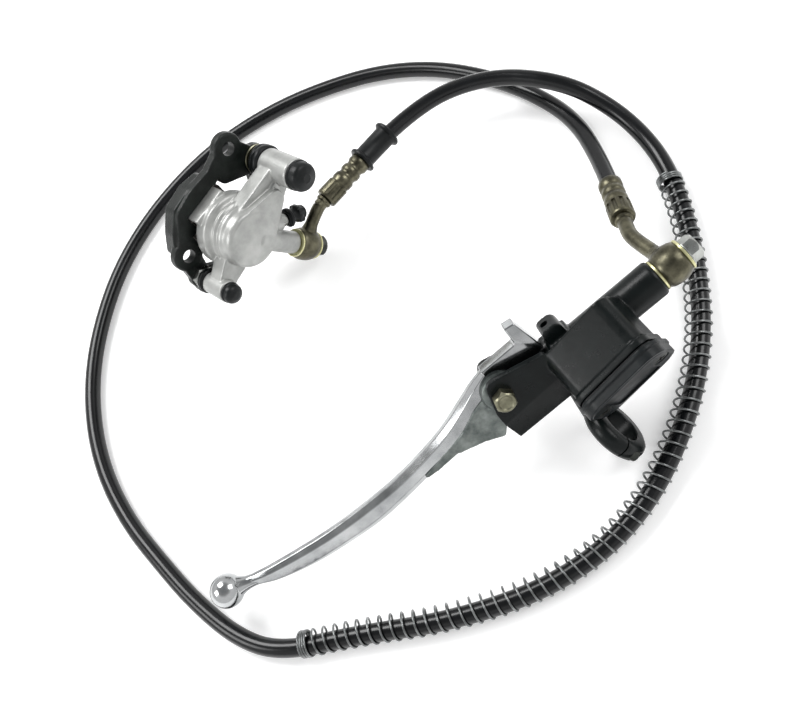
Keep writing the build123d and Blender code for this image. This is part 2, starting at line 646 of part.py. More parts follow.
def mounting_bracket():
    upper = [(*UPPER_PIN, 9.0), (*UPPER_LUG, 9.5), (20, 26, 6.5), (-8, 25.5, 6.5), (-21, 17, 7.0), (*LOWER_LUG, 9.0)]
    lower = [(*LOWER_LUG, 9.0), (*LOWER_PIN, 7.5), (-35, -18, 5.5)]
    under = [(*LOWER_PIN, 6.0), (-18, -22, 4.0), (0, -25, 4.0), (18, -22, 4.0), (34, -4, 5.0), (*UPPER_PIN, 8.0)]
    plate = chain(upper, -PLATE, 0) + chain(lower, -PLATE, 0) + chain(under, -PLATE, 0)
    plate += link((*UPPER_PIN, 9.0), (22, 22, 6.0), -PLATE, 0)
    arch = [(16, 27.5, 3.2), (-8, 28, 3.2), (-22, 20, 3.2), (-29, 10, 3.2)]
    plate += chain(arch, INNER_LINING[1] - 1, -PLATE)
    window_side = PAD_HALF + 0.4
    window_top = BRIDGE_INSIDE + BRIDGE_THICKNESS + 0.4
    plate -= box((-window_side, window_side), (PAD_BOTTOM - 0.4, PAD_TOP + 0.4), (-PLATE - 1, 1))
    plate -= box((-BRIDGE_HALF - 0.6, BRIDGE_HALF + 0.6), (0, window_top), (CLAW_FRONT - 3, 1))
    for lug in (UPPER_LUG, LOWER_LUG):
        plate -= rod((*lug, -PLATE - 1), (*lug, 1), LUG_HOLE)
    plate -= rod((*UPPER_PIN, -PLATE - 1), (*UPPER_PIN, 1), UPPER_PIN_RADIUS + RUNNING_FIT)
    plate -= rod((*LOWER_PIN, -PLATE - 1), (*LOWER_PIN, 1), LOWER_PIN_RADIUS + RUNNING_FIT)
    return CALIPER * plate


def slide_pin(pin, radius, span):
    return CALIPER * rod((*pin, -PLATE), (*pin, span[1] - PIN_TIP_GAP), radius)


PIN_NUT = 3.2


def pin_nuts():
    nuts = []
    for pin, radius, flats in ((UPPER_PIN, UPPER_PIN_RADIUS, 13.0), (LOWER_PIN, LOWER_PIN_RADIUS, 12.0)):
        nut = hexagon((*pin, 0), (*pin, PIN_NUT), flats)
        nuts.append(CALIPER * (nut - rod((*pin, -1), (*pin, PIN_NUT + 1), radius + RUNNING_FIT)))
    return nuts


def pin_boot(pin, radius, boss, span):
    """A bellows of three folds between the nut and the boss."""
    low = PIN_NUT + SEAT_GAP
    high = span[0]
    fold = (high - low) / 3
    boot = rod((*pin, low), (*pin, high), boss - 2.2)
    for step in range(3):
        start = low + step * fold
        boot += rod((*pin, start + 0.25 * fold), (*pin, start + 0.75 * fold), boss - 0.4)
    return CALIPER * (boot - rod((*pin, low - 1), (*pin, high + 1), radius + 0.2))


def pin_cap(pin, boss, span, height):
    """A rubber dome that closes the outer end of a pin bore."""
    cap = rod((*pin, span[1]), (*pin, span[1] + height), boss - 0.6)
    return CALIPER * chamfer(cap.edges().group_by(Axis.Z)[-1], 0.35 * height)


def caliper_piston():
    front = PAD_FACE + SEAT_GAP
    piston = rod((0, 0, front), (0, 0, PISTON_DEPTH - 4), PISTON_RADIUS)
    return CALIPER * (piston - rod((0, 0, front - 1), (0, 0, PISTON_DEPTH - 9), PISTON_RADIUS - 3))


def round_seal(start, length, out):
    inner = PISTON_RADIUS + RUNNING_FIT
    return CALIPER * ring((0, 0, start + 0.05), (0, 0, start + length - 0.05), PISTON_RADIUS + out - 0.05, inner)


def brake_pad(plate, lining):
    pad = box((-PAD_HALF, PAD_HALF), (PAD_BOTTOM, PAD_TOP), plate)
    pad = fillet(pad.edges().filter_by(Axis.Z), 3.0)
    shoe = box((-PAD_HALF + 1.5, PAD_HALF - 1.5), (PAD_BOTTOM + 1.5, PAD_TOP - 1.5), lining)
    shoe = fillet(shoe.edges().filter_by(Axis.Z), 3.0)
    shoe -= box((-1, 1), (PAD_BOTTOM, PAD_TOP), (lining[0] - 1, lining[1] - 1))
    return CALIPER * (pad + shoe)


def bleed_screw():
    screw = rod(polar(BLEED_ANGLE, BLEED_REACH - 5.5, PORT_HEIGHT), polar(BLEED_ANGLE, BLEED_REACH, PORT_HEIGHT), 3.0)
    screw += hexagon(polar(BLEED_ANGLE, BLEED_REACH, PORT_HEIGHT), polar(BLEED_ANGLE, BLEED_REACH + 4, PORT_HEIGHT), 7.0)
    screw += rod(polar(BLEED_ANGLE, BLEED_REACH + 4, PORT_HEIGHT), polar(BLEED_ANGLE, BLEED_REACH + 12, PORT_HEIGHT), 2.4)
    return CALIPER * screw


def bleed_cap():
    start = polar(BLEED_ANGLE, BLEED_REACH + 4 + SEAT_GAP, PORT_HEIGHT)
    end = polar(BLEED_ANGLE, BLEED_REACH + 18, PORT_HEIGHT)
    cap = rod(start, end, 4.6)
    cap += rod(polar(BLEED_ANGLE, BLEED_REACH + 11, PORT_HEIGHT), polar(BLEED_ANGLE, BLEED_REACH + 15, PORT_HEIGHT), 5.4)
    return CALIPER * (cap - rod(start, polar(BLEED_ANGLE, BLEED_REACH + 12.3, PORT_HEIGHT), 2.4 + 0.1))


def build():
    points = route_points()
    master_end = (points[0], points[1])
    caliper_end = (points[-1], points[-2])
    return {
        "master_cylinder_body": master_cylinder_body(),
        "reservoir_cap": reservoir_cap(),
        "reservoir_diaphragm": reservoir_diaphragm(),
        "cap_screws": cap_screws(),
        "handlebar_clamp": handlebar_clamp(),
        "clamp_bolts": clamp_bolts(),
        "brake_lever": brake_lever(),
        "lever_pivot_bolt": lever_pivot_bolt(),
        "lever_pivot_nut": lever_pivot_nut(),
        "master_piston": master_piston(),
        "secondary_cup": piston_cup(CUP_ONE),
        "primary_cup": piston_cup(CUP_TWO),
        "master_return_spring": master_return_spring(),
        "piston_circlip": piston_circlip(),
        "piston_boot": piston_boot(),
        "master_banjo_bolt": banjo_bolt(MASTER_STACK, PORT_DEPTH - 2),
        "master_banjo_washers": banjo_washers(MASTER_STACK),
        "master_banjo_fitting": banjo_fitting(MASTER_STACK, *master_end, MASTER_NECK),
        "master_crimp_ferrule": crimp_ferrule(*master_end),
        "brake_hose": brake_hose(),
        "hose_spring_guard": hose_spring_guard(),
        "hose_grommet": hose_grommet(),
        "caliper_crimp_ferrule": crimp_ferrule(*caliper_end),
        "caliper_banjo_fitting": banjo_fitting(CALIPER_STACK, *caliper_end, CALIPER_NECK),
        "caliper_banjo_washers": banjo_washers(CALIPER_STACK),
        "caliper_banjo_bolt": banjo_bolt(CALIPER_STACK, 10),
        "caliper_body": caliper_body(),
        "mounting_bracket": mounting_bracket(),
        "upper_slide_pin": slide_pin(UPPER_PIN, UPPER_PIN_RADIUS, UPPER_BOSS_SPAN),
        "lower_slide_pin": slide_pin(LOWER_PIN, LOWER_PIN_RADIUS, LOWER_BOSS_SPAN),
        "pin_nuts": pin_nuts(),
        "upper_pin_boot": pin_boot(UPPER_PIN, UPPER_PIN_RADIUS, UPPER_BOSS, UPPER_BOSS_SPAN),
        "lower_pin_boot": pin_boot(LOWER_PIN, LOWER_PIN_RADIUS, LOWER_BOSS, LOWER_BOSS_SPAN),
        "upper_pin_cap": pin_cap(UPPER_PIN, UPPER_BOSS, UPPER_BOSS_SPAN, 9.0),
        "lower_pin_cap": pin_cap(LOWER_PIN, LOWER_BOSS, LOWER_BOSS_SPAN, 7.0),
        "caliper_piston": caliper_piston(),
        "piston_seal": round_seal(SEAL_AT, 3, SEAL_OUT),
        "piston_dust_seal": round_seal(DUST_SEAL_AT, 2, 1.6),
        "outer_brake_pad": brake_pad(OUTER_PLATE, OUTER_LINING),
        "inner_brake_pad": brake_pad(INNER_PLATE, INNER_LINING),
        "bleed_screw": bleed_screw(),
        "bleed_cap": bleed_cap(),
    }


os.makedirs("parts", exist_ok=True)
for name, shape in build().items():
    solid = Compound(children=list(shape)) if isinstance(shape, (list, tuple)) else shape
    export_step(solid, f"parts/{name}.step")
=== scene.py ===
"""Looks for the hydraulic disc brake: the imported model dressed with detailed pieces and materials.

Pieces are drawn in millimetres in the frame of the assembly that they belong to, then placed in metres.
"""
import math

import bmesh
import bpy
from mathutils import Matrix, Vector

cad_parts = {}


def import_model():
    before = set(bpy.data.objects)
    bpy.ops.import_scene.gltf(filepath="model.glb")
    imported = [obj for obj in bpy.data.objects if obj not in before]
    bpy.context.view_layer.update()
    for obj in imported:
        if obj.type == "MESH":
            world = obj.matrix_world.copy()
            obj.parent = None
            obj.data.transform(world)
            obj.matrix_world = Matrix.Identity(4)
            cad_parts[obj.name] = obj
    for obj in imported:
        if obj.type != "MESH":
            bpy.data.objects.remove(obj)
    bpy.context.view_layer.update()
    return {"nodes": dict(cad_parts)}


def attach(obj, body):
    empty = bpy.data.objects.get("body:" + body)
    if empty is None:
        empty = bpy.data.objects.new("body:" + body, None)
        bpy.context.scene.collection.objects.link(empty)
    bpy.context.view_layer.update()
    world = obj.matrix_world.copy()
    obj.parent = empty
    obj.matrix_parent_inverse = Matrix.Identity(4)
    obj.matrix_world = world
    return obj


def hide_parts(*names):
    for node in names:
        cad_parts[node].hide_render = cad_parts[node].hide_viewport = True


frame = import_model()


# Table, light and camera
# The set lies on a white table and was photographed from above, a little to the front.
# One large lamp stands behind and above it, two weaker ones at the sides, under a pale room.

TABLE_SHIFT = Vector((1.84, -1.01, -0.11))


def world(x, y, z):
    """A point of the table frame in millimetres, before the shift, as metres."""
    return (Vector((x, y, z)) + TABLE_SHIFT) * 0.001


def link(obj):
    bpy.context.scene.collection.objects.link(obj)
    return obj


def new_mesh(name, verts, faces, place):
    mesh = bpy.data.meshes.new(name)
    mesh.from_pydata(verts, [], faces)
    mesh.transform(place)
    mesh.validate()
    form = bmesh.new()
    form.from_mesh(mesh)
    bmesh.ops.remove_doubles(form, verts=form.verts, dist=1e-6)
    bmesh.ops.recalc_face_normals(form, faces=form.faces)
    form.to_mesh(mesh)
    form.free()
    return link(bpy.data.objects.new(name, mesh))


def node(tree, kind, **settings):
    made = tree.nodes.new(kind)
    for key, value in settings.items():
        if key in made.inputs:
            made.inputs[key].default_value = value
        else:
            setattr(made, key, value)
    return made


def wandering_finish():
    """Node group: two colours in soft patches, a gloss that drifts, and a fine grain for the relief."""
    group = bpy.data.node_groups.new("wandering_finish", "ShaderNodeTree")
    for name, kind in (
        ("Dark", "NodeSocketColor"), ("Light", "NodeSocketColor"), ("Patches", "NodeSocketFloat"),
        ("Drift", "NodeSocketFloat"), ("Grain", "NodeSocketFloat"), ("Smoothest", "NodeSocketFloat"),
        ("Roughest", "NodeSocketFloat"),
    ):
        group.interface.new_socket(name, in_out="INPUT", socket_type=kind)
    for name, kind in (("Color", "NodeSocketColor"), ("Roughness", "NodeSocketFloat"),
                       ("Height", "NodeSocketFloat")):
        group.interface.new_socket(name, in_out="OUTPUT", socket_type=kind)
    given = node(group, "NodeGroupInput")
    result = node(group, "NodeGroupOutput")
    place = node(group, "ShaderNodeTexCoord")

    def noise(scale, detail, roughness):
        made = node(group, "ShaderNodeTexNoise", Detail=detail, Roughness=roughness)
        group.links.new(place.outputs["Object"], made.inputs["Vector"])
        group.links.new(given.outputs[scale], made.inputs["Scale"])
        return made.outputs["Fac"]

    share = node(group, "ShaderNodeMapRange")
    share.inputs["From Min"].default_value = 0.32
    share.inputs["From Max"].default_value = 0.72
    group.links.new(noise("Patches", 4.0, 0.6), share.inputs["Value"])
    tint = node(group, "ShaderNodeMix", data_type="RGBA")
    group.links.new(share.outputs["Result"], tint.inputs[0])
    group.links.new(given.outputs["Dark"], tint.inputs[6])
    group.links.new(given.outputs["Light"], tint.inputs[7])
    group.links.new(tint.outputs[2], result.inputs["Color"])
    gloss = node(group, "ShaderNodeMapRange")
    gloss.inputs["From Min"].default_value = 0.3
    gloss.inputs["From Max"].default_value = 0.7
    group.links.new(noise("Drift", 3.0, 0.5), gloss.inputs["Value"])
    group.links.new(given.outputs["Smoothest"], gloss.inputs["To Min"])
    group.links.new(given.outputs["Roughest"], gloss.inputs["To Max"])
    group.links.new(gloss.outputs["Result"], result.inputs["Roughness"])
    group.links.new(noise("Grain", 2.0, 0.6), result.inputs["Height"])
    return group


FINISH = wandering_finish()


def surface(name, dark, light, roughness, metallic=0.0, mottle=60.0, grain=900.0, bump=0.05, depth=0.0002,
            coat=0.0, spread=0.12, shine=0.5):
    """A material from the finish group: its two colours, its gloss, and how strong its grain stands."""
    material = bpy.data.materials.new(name)
    material.use_nodes = True
    tree = material.node_tree
    shader = tree.nodes["Principled BSDF"]
    shader.inputs["Metallic"].default_value = metallic
    shader.inputs["Specular IOR Level"].default_value = shine
    if coat:
        shader.inputs["Coat Weight"].default_value = coat
        shader.inputs["Coat Roughness"].default_value = 0.12
    finish = node(tree, "ShaderNodeGroup", node_tree=FINISH)
    finish.inputs["Dark"].default_value = (*dark, 1)
    finish.inputs["Light"].default_value = (*light, 1)
    finish.inputs["Patches"].default_value = mottle
    finish.inputs["Drift"].default_value = mottle * 2.3
    finish.inputs["Grain"].default_value = grain
    finish.inputs["Smoothest"].default_value = max(0.02, roughness - spread / 2)
    finish.inputs["Roughest"].default_value = min(1.0, roughness + spread / 2)
    raised = node(tree, "ShaderNodeBump", Strength=bump, Distance=depth)
    tree.links.new(finish.outputs["Height"], raised.inputs["Height"])
    tree.links.new(finish.outputs["Color"], shader.inputs["Base Color"])
    tree.links.new(finish.outputs["Roughness"], shader.inputs["Roughness"])
    tree.links.new(raised.outputs["Normal"], shader.inputs["Normal"])
    return material


def lift_floor(paper):
    """A little more white where the camera or a gloss sees the floor; its shadows stay."""
    tree = paper.node_tree
    shader = tree.nodes["Principled BSDF"]
    rays = node(tree, "ShaderNodeLightPath")
    seen = node(tree, "ShaderNodeMath", operation="MAXIMUM")
    amount = node(tree, "ShaderNodeMath", operation="MULTIPLY")
    amount.inputs[1].default_value = 0.22
    tree.links.new(rays.outputs["Is Camera Ray"], seen.inputs[0])
    tree.links.new(rays.outputs["Is Glossy Ray"], seen.inputs[1])
    tree.links.new(seen.outputs["Value"], amount.inputs[0])
    tree.links.new(amount.outputs["Value"], shader.inputs["Emission Strength"])
    shader.inputs["Emission Color"].default_value = (1, 1, 1, 1)


def studio():
    view = bpy.data.cameras.new("camera")
    view.sensor_fit = "HORIZONTAL"
    view.sensor_width = 36.0
    view.lens = 850.0 / 801.0 * 36.0
    view.clip_start = 0.01
    camera = link(bpy.data.objects.new("camera", view))
    right = Vector((0.8107, -0.5024, -0.3007)).normalized()
    ahead = Vector((-0.03, 0.4772, -0.8783)).normalized()
    up = right.cross(ahead).normalized()
    right = ahead.cross(up).normalized()
    basis = Matrix((right, up, -ahead)).transposed().to_4x4()
    camera.matrix_world = Matrix.Translation(world(15.5, -242.9, 446.8)) @ basis
    bpy.context.scene.camera = camera

    floor = new_mesh("floor", [(-6, -6, 0), (6, -6, 0), (6, 6, 0), (-6, 6, 0)], [(0, 1, 2, 3)], Matrix())
    paper = surface("paper", (0.93, 0.93, 0.93), (0.96, 0.96, 0.96), 0.8, mottle=2, grain=300, bump=0.01)
    lift_floor(paper)
    floor.data.materials.append(paper)

    sky = bpy.data.worlds.new("studio")
    sky.use_nodes = True
    background = sky.node_tree.nodes["Background"]
    background.inputs["Strength"].default_value = 0.95
    around = node(sky.node_tree, "ShaderNodeTexCoord")
    height = node(sky.node_tree, "ShaderNodeSeparateXYZ")
    shade = node(sky.node_tree, "ShaderNodeValToRGB")
    shade.color_ramp.elements[0].position = 0.0
    shade.color_ramp.elements[0].color = (0.88, 0.88, 0.88, 1)
    shade.color_ramp.elements[1].position = 1.0
    shade.color_ramp.elements[1].color = (0.3, 0.31, 0.32, 1)
    for level, grey in ((0.4, 0.95), (0.62, 1.0), (0.8, 0.42)):
        shade.color_ramp.elements.new(level).color = (grey, grey, grey, 1)
    sky.node_tree.links.new(around.outputs["Generated"], height.inputs["Vector"])
    sky.node_tree.links.new(height.outputs["Z"], shade.inputs["Fac"])
    sky.node_tree.links.new(shade.outputs["Color"], background.inputs["Color"])
    bpy.context.scene.world = sky
    for name, at, size, power in (
        ("key", (-0.3, 0.9, 1.3), 0.7, 17.0),
        ("fill", (0.9, -0.2, 1.0), 0.6, 6.0),
        ("side", (-1.1, 0.1, 0.8), 0.5, 5.0),
    ):
        lamp = bpy.data.lights.new(name, "AREA")
        lamp.energy = power
        lamp.size = size
        lit = link(bpy.data.objects.new(name, lamp))
        aim = (Vector((0, 0, 0.03)) - Vector(at)).to_track_quat("-Z", "Y").to_matrix().to_4x4()
        lit.matrix_world = Matrix.Translation(at) @ aim
    bpy.context.scene.view_settings.view_transform = "Standard"


studio()


# Hose
# One length of black rubber brake hose, 10 mm outside, crimped into a sleeve at each end.
# It leaves the master cylinder, rounds the whole set on the table and comes back over itself.

HOSE = surface("hose_rubber", (0.002, 0.0024, 0.0028), (0.004, 0.0046, 0.0054), 0.22, mottle=60, grain=1700,
               bump=0.06, spread=0.06, shine=0.35)
ROUTE = [
    (150.4, -8.3, 30.0),
    (159.8, 14.7, 20.0),
    (170.5, 56.0, 9.0),
    (164.5, 95.0, 5.3),
    (148.5, 131.0, 5.3),
    (127.5, 161.5, 5.3),
    (99.5, 186.0, 5.3),
    (66.9, 202.8, 5.3),
    (30.7, 215.2, 5.3),
    (-10.9, 220.7, 5.3),
    (-49.0, 216.8, 5.3),
    (-89.2, 203.9, 5.3),
    (-125.4, 182.6, 5.3),
    (-154.6, 153.4, 5.3),
    (-176.9, 120.2, 5.3),
    (-190.8, 83.0, 5.3),
    (-196.0, 46.4, 5.3),
    (-193.5, 10.0, 5.3),
    (-186.5, -20.0, 5.3),
    (-177.0, -55.0, 5.3),
    (-162.4, -89.0, 5.9),
    (-143.2, -110.0, 7.4),
    (-104.0, -125.5, 8.2),
    (-56.0, -148.5, 8.2),
    (-3.0, -163.5, 8.2),
    (46.5, -161.5, 8.2),
    (93.5, -140.0, 8.2),
    (134.0, -106.5, 8.2),
    (163.5, -64.5, 8.2),
    (184.0, -22.0, 8.2),
    (192.5, 10.0, 8.2),
    (190.0, 43.0, 14.0),
    (174.5, 73.0, 27.0),
    (143.5, 110.5, 27.0),
    (96.0, 123.5, 28.0),
    (49.0, 110.5, 30.0),
]


def smooth_line(name, points, bevel):
    """A curve that runs smoothly between its control points."""
    curve = bpy.data.curves.new(name, "CURVE")
    curve.dimensions = "3D"
    spline = curve.splines.new("NURBS")
    spline.points.add(len(points) - 1)
    for place, point in zip(spline.points, points):
        place.co = (*point, 1.0)
    spline.order_u = 3
    spline.use_endpoint_u = True
    spline.resolution_u = 12
    curve.bevel_depth = bevel
    curve.bevel_resolution = 8
    curve.use_fill_caps = True
    return link(bpy.data.objects.new(name, curve))


def read_line(obj):
    """The points that a curve follows."""
    bevel = obj.data.bevel_depth
    obj.data.bevel_depth = 0
    graph = bpy.context.evaluated_depsgraph_get()
    mesh = bpy.data.meshes.new_from_object(obj.evaluated_get(graph))
    points = [vertex.co.copy() for vertex in mesh.vertices]
    bpy.data.meshes.remove(mesh)
    obj.data.bevel_depth = bevel
    return points


def travelled(points):
    """Distance along a line at each of its points."""
    total = [0.0]
    for before, after in zip(points, points[1:]):
        total.append(total[-1] + (after - before).length)
    return total


hose = smooth_line("hose", [world(*point) for point in ROUTE], 0.005)
hose.data.materials.append(HOSE)
hose_line = read_line(hose)
hose_marks = travelled(hose_line)


# Spring guard
# A loose coil of thin steel wire, slid over the hose to keep it from chafing.
# Its turns are open, apart from a few at each end that are wound close together.

SPRING = surface("spring_wire", (0.1, 0.105, 0.105), (0.3, 0.31, 0.31), 0.3, metallic=1.0, mottle=200,
                 grain=900, bump=0.04)
GUARD_WIRE = 0.0006
GUARD_COIL = 0.0068
GUARD_PITCH = 0.0062
GUARD_DRIFT = 0.0012
GUARD_TIGHT = 3.5  # turns close together at each end


def sample(points, marks, distance):
    """Point and direction at a distance along a line."""
    for step in range(1, len(points)):
        if marks[step] >= distance or step == len(points) - 1:
            share = (distance - marks[step - 1]) / (marks[step] - marks[step - 1])
            ahead = (points[step] - points[step - 1]).normalized()
            return points[step - 1].lerp(points[step], share), ahead
    return points[-1], (points[-1] - points[-2]).normalized()


def nearest(points, marks, target):
    best = min(range(len(points)), key=lambda k: (points[k] - target).length)
    return marks[best]


def build_guard(line, marks):
    """The wire coil round the hose, hanging a little off centre towards the inside of the loop."""
    first = nearest(line, marks, world(-130.7, -115.0, 7.7))
    last = nearest(line, marks, world(186.5, -14.0, 8.0))
    steps = 22
    at = first
    spin = 0.0
    points = []
    close = 2.2 * GUARD_WIRE
    while at < last:
        end_turns = min(at - first, last - at) / close
        pitch = close if end_turns < GUARD_TIGHT else GUARD_PITCH
        centre, ahead = sample(line, marks, at)
        inward = (Vector((0, 0, centre.z)) - centre)
        inward = (inward - ahead * inward.dot(ahead)).normalized()
        across = ahead.cross(inward).normalized()
        swing = math.tau * spin
        reach = inward * math.cos(swing) + across * math.sin(swing)
        points.append(centre + inward * GUARD_DRIFT + reach * GUARD_COIL)
        at += pitch / steps
        spin += 1 / steps
    curve = bpy.data.curves.new("spring_guard", "CURVE")
    curve.dimensions = "3D"
    spline = curve.splines.new("POLY")
    spline.points.add(len(points) - 1)
    for place, point in zip(spline.points, points):
        place.co = (*point, 1.0)
    curve.bevel_depth = GUARD_WIRE
    curve.bevel_resolution = 2
    curve.use_fill_caps = True
    guard = link(bpy.data.objects.new("spring_guard", curve))
    guard.data.materials.append(SPRING)
    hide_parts("hose_spring_guard")
    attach(guard, "brake_set")
    return guard


spring_guard = build_guard(hose_line, hose_marks)


# Rubber bobbin
# A moulded sleeve on the hose beside the caliper, with a thin flange at each end.
# On a fork it would sit in a clip; here it is only pushed over the hose.

MM = Matrix.Scale(0.001, 4)


def axis_place(start, end):
    """A millimetre frame with its z from one world point towards another."""
    start, end = Vector(start), Vector(end)
    tilt = (end - start).to_track_quat("Z", "Y").to_matrix().to_4x4()
    return Matrix.Translation(start) @ tilt @ MM


def lathe(name, profile, place, steps=72, hollow=False):
    """Turns (radius, height) points about the local z axis; hollow closes the profile on itself."""
    verts = []
    for radius, height in profile:
        for step in range(steps):
            swing = math.tau * step / steps
            verts.append((radius * math.cos(swing), radius * math.sin(swing), height))
    rows = len(profile)
    faces = []
    for row in range(rows if hollow else rows - 1):
        after = (row + 1) % rows
        for step in range(steps):
            beside = (step + 1) % steps
            faces.append((row * steps + step, row * steps + beside, after * steps + beside,
                          after * steps + step))
    if not hollow:
        faces.append(tuple(reversed(range(steps))))
        faces.append(tuple(range((rows - 1) * steps, rows * steps)))
    return new_mesh(name, verts, faces, place)


def smooth(obj, angle=35):
    obj.data.shade_smooth()
    obj.data.set_sharp_from_angle(angle=math.radians(angle))
    return obj


def dress(obj, material, body, *nodes, slot=None):
    """Material, body and the CAD nodes that the piece stands for."""
    obj.data.materials.clear()
    obj.data.materials.append(material)
    if nodes:
        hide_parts(*nodes)
    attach(obj, body)
    return obj


RUBBER = surface("soft_rubber", (0.002, 0.003, 0.0032), (0.007, 0.0085, 0.009), 0.38, mottle=120,
                 grain=1600, bump=0.1, shine=0.24)


def build_grommet():
    start = world(*ROUTE[-1])
    towards = world(*ROUTE[-2])
    place = axis_place(start, towards)
    profile = [
        (5.1, 0.4), (8.2, 0.5), (8.8, 1.0), (9.0, 1.8), (8.7, 2.6), (8.0, 3.0), (7.2, 3.5), (6.9, 4.6),
        (6.9, 12.0), (7.0, 21.8), (7.3, 22.9), (8.2, 23.4), (8.8, 24.0), (9.0, 24.8), (8.7, 25.6),
        (8.1, 26.1), (5.1, 26.3),
    ]
    grommet = lathe("hose_bobbin", profile, place, hollow=True)
    smooth(grommet, 30)
    return dress(grommet, RUBBER, "brake_set", "hose_grommet", slot="rubber")


hose_bobbin = build_grommet()
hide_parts("brake_hose")
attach(hose, "brake_set")


# Crimped ferrules
# A turned steel sleeve at each end of the hose, zinc plated and passivated to a dark olive.
# A press has closed it on the hose at two waists; its outer barrel is fluted.


def turn(degrees, axis):
    return Matrix.Rotation(math.radians(degrees), 4, axis)


def shift(x, y, z):
    return Matrix.Translation((x, y, z))


def local(place, x, y, z):
    return place @ Vector((x, y, z))


def polar(angle, reach, height=0.0):
    swing = math.radians(angle)
    return (reach * math.cos(swing), reach * math.sin(swing), height)


MASTER_AT = Matrix.Translation(Vector((32.3, -75.2, 48.2)) + TABLE_SHIFT)
MASTER = MM @ MASTER_AT @ turn(-11.2, "Y") @ turn(53.3, "X")
BORE_BACK = 10.0
BORE = MASTER @ shift(0, -BORE_BACK, 0) @ turn(90, "Y")
CALIPER_AT = Matrix.Translation(Vector((-41.1, 111.0, 56.6)) + TABLE_SHIFT)
CALIPER = MM @ CALIPER_AT @ turn(22, "Z") @ turn(80.8, "X")


def rod(name, start, end, radius, place, chamfer=0.0):
    """A round bar between two points of a millimetre frame."""
    tip, foot = Vector(end), Vector(start)
    tilt = (tip - foot).to_track_quat("Z", "Y").to_matrix().to_4x4()
    length = (tip - foot).length
    c = chamfer
    profile = [(radius - c, 0), (radius, c), (radius, length - c), (radius - c, length)] if c else [
        (radius, 0), (radius, length)]
    return lathe(name, profile, place @ Matrix.Translation(foot) @ tilt)


def join(name, pieces):
    """One object from several, which are used up."""
    form = bmesh.new()
    for piece in pieces:
        form.from_mesh(piece.data)
        old = piece.data
        bpy.data.objects.remove(piece)
        bpy.data.meshes.remove(old)
    mesh = bpy.data.meshes.new(name)
    form.to_mesh(mesh)
    form.free()
    return link(bpy.data.objects.new(name, mesh))


def freeze(obj):
    """Applies what the modifiers do to the piece's own mesh."""
    graph = bpy.context.evaluated_depsgraph_get()
    mesh = bpy.data.meshes.new_from_object(obj.evaluated_get(graph))
    obj.modifiers.clear()
    old = obj.data
    obj.data = mesh
    mesh.name = obj.name
    bpy.data.meshes.remove(old)
    return obj


def cut(obj, cutters):
    """Cuts closed pieces out of another; the cutters are used up."""
    tool = join(obj.name + "_tool", cutters)
    trim = obj.modifiers.new("cut", "BOOLEAN")
    trim.operation = "DIFFERENCE"
    trim.solver = "EXACT"
    trim.use_self = True
    trim.object = tool
    freeze(obj)
    mesh = tool.data
    bpy.data.objects.remove(tool)
    bpy.data.meshes.remove(mesh)
    return obj


OLIVE_ZINC = surface("olive_zinc", (0.045, 0.042, 0.03), (0.17, 0.16, 0.11), 0.34, metallic=1.0, mottle=130,
                     grain=900, bump=0.1)


def build_ferrule(name, end, beside, node_name):
    """Crimped sleeve: plain collar, two crimp waists, fluted barrel, and a lip where the neck leaves."""
    place = axis_place(world(*beside), world(*end))
    end_at = (world(*end) - world(*beside)).length * 1000
    place = place @ shift(0, 0, end_at)
    barrel = lathe(name, [
        (5.1, -0.6), (6.3, -0.6), (6.6, 0.0), (6.6, 3.6), (6.0, 4.6), (5.6, 5.4), (5.6, 6.6), (6.1, 7.4),
        (6.5, 8.2), (6.5, 10.6), (6.0, 11.4), (5.6, 12.2), (5.6, 13.4), (6.1, 14.2), (6.6, 15.0),
        (6.6, 18.2), (6.2, 19.0), (6.2, 20.4), (6.9, 21.0), (6.9, 31.6), (6.4, 32.6), (5.4, 33.0),
        (4.0, 33.0),
    ], place, steps=96)
    grooves = []
    for side in range(10):
        swing = math.tau * side / 10
        grooves.append(rod("flute", (7.3 * math.cos(swing), 7.3 * math.sin(swing), 21.6),
                           (7.3 * math.cos(swing), 7.3 * math.sin(swing), 31.2), 1.2, place))
    cut(barrel, grooves)
    smooth(barrel, 32)
    return dress(barrel, OLIVE_ZINC, "brake_set", node_name, slot="olive_gold")


build_ferrule("master_ferrule", ROUTE[0], ROUTE[1], "master_crimp_ferrule")
build_ferrule("caliper_ferrule", ROUTE[-1], ROUTE[-2], "caliper_crimp_ferrule")


# Banjo fittings
# A forged eye with a bent neck, held between two soft crush washers by a hollow bolt.
# Eye and neck are dark olive, the washers pale gold, and each bolt has its own plating.


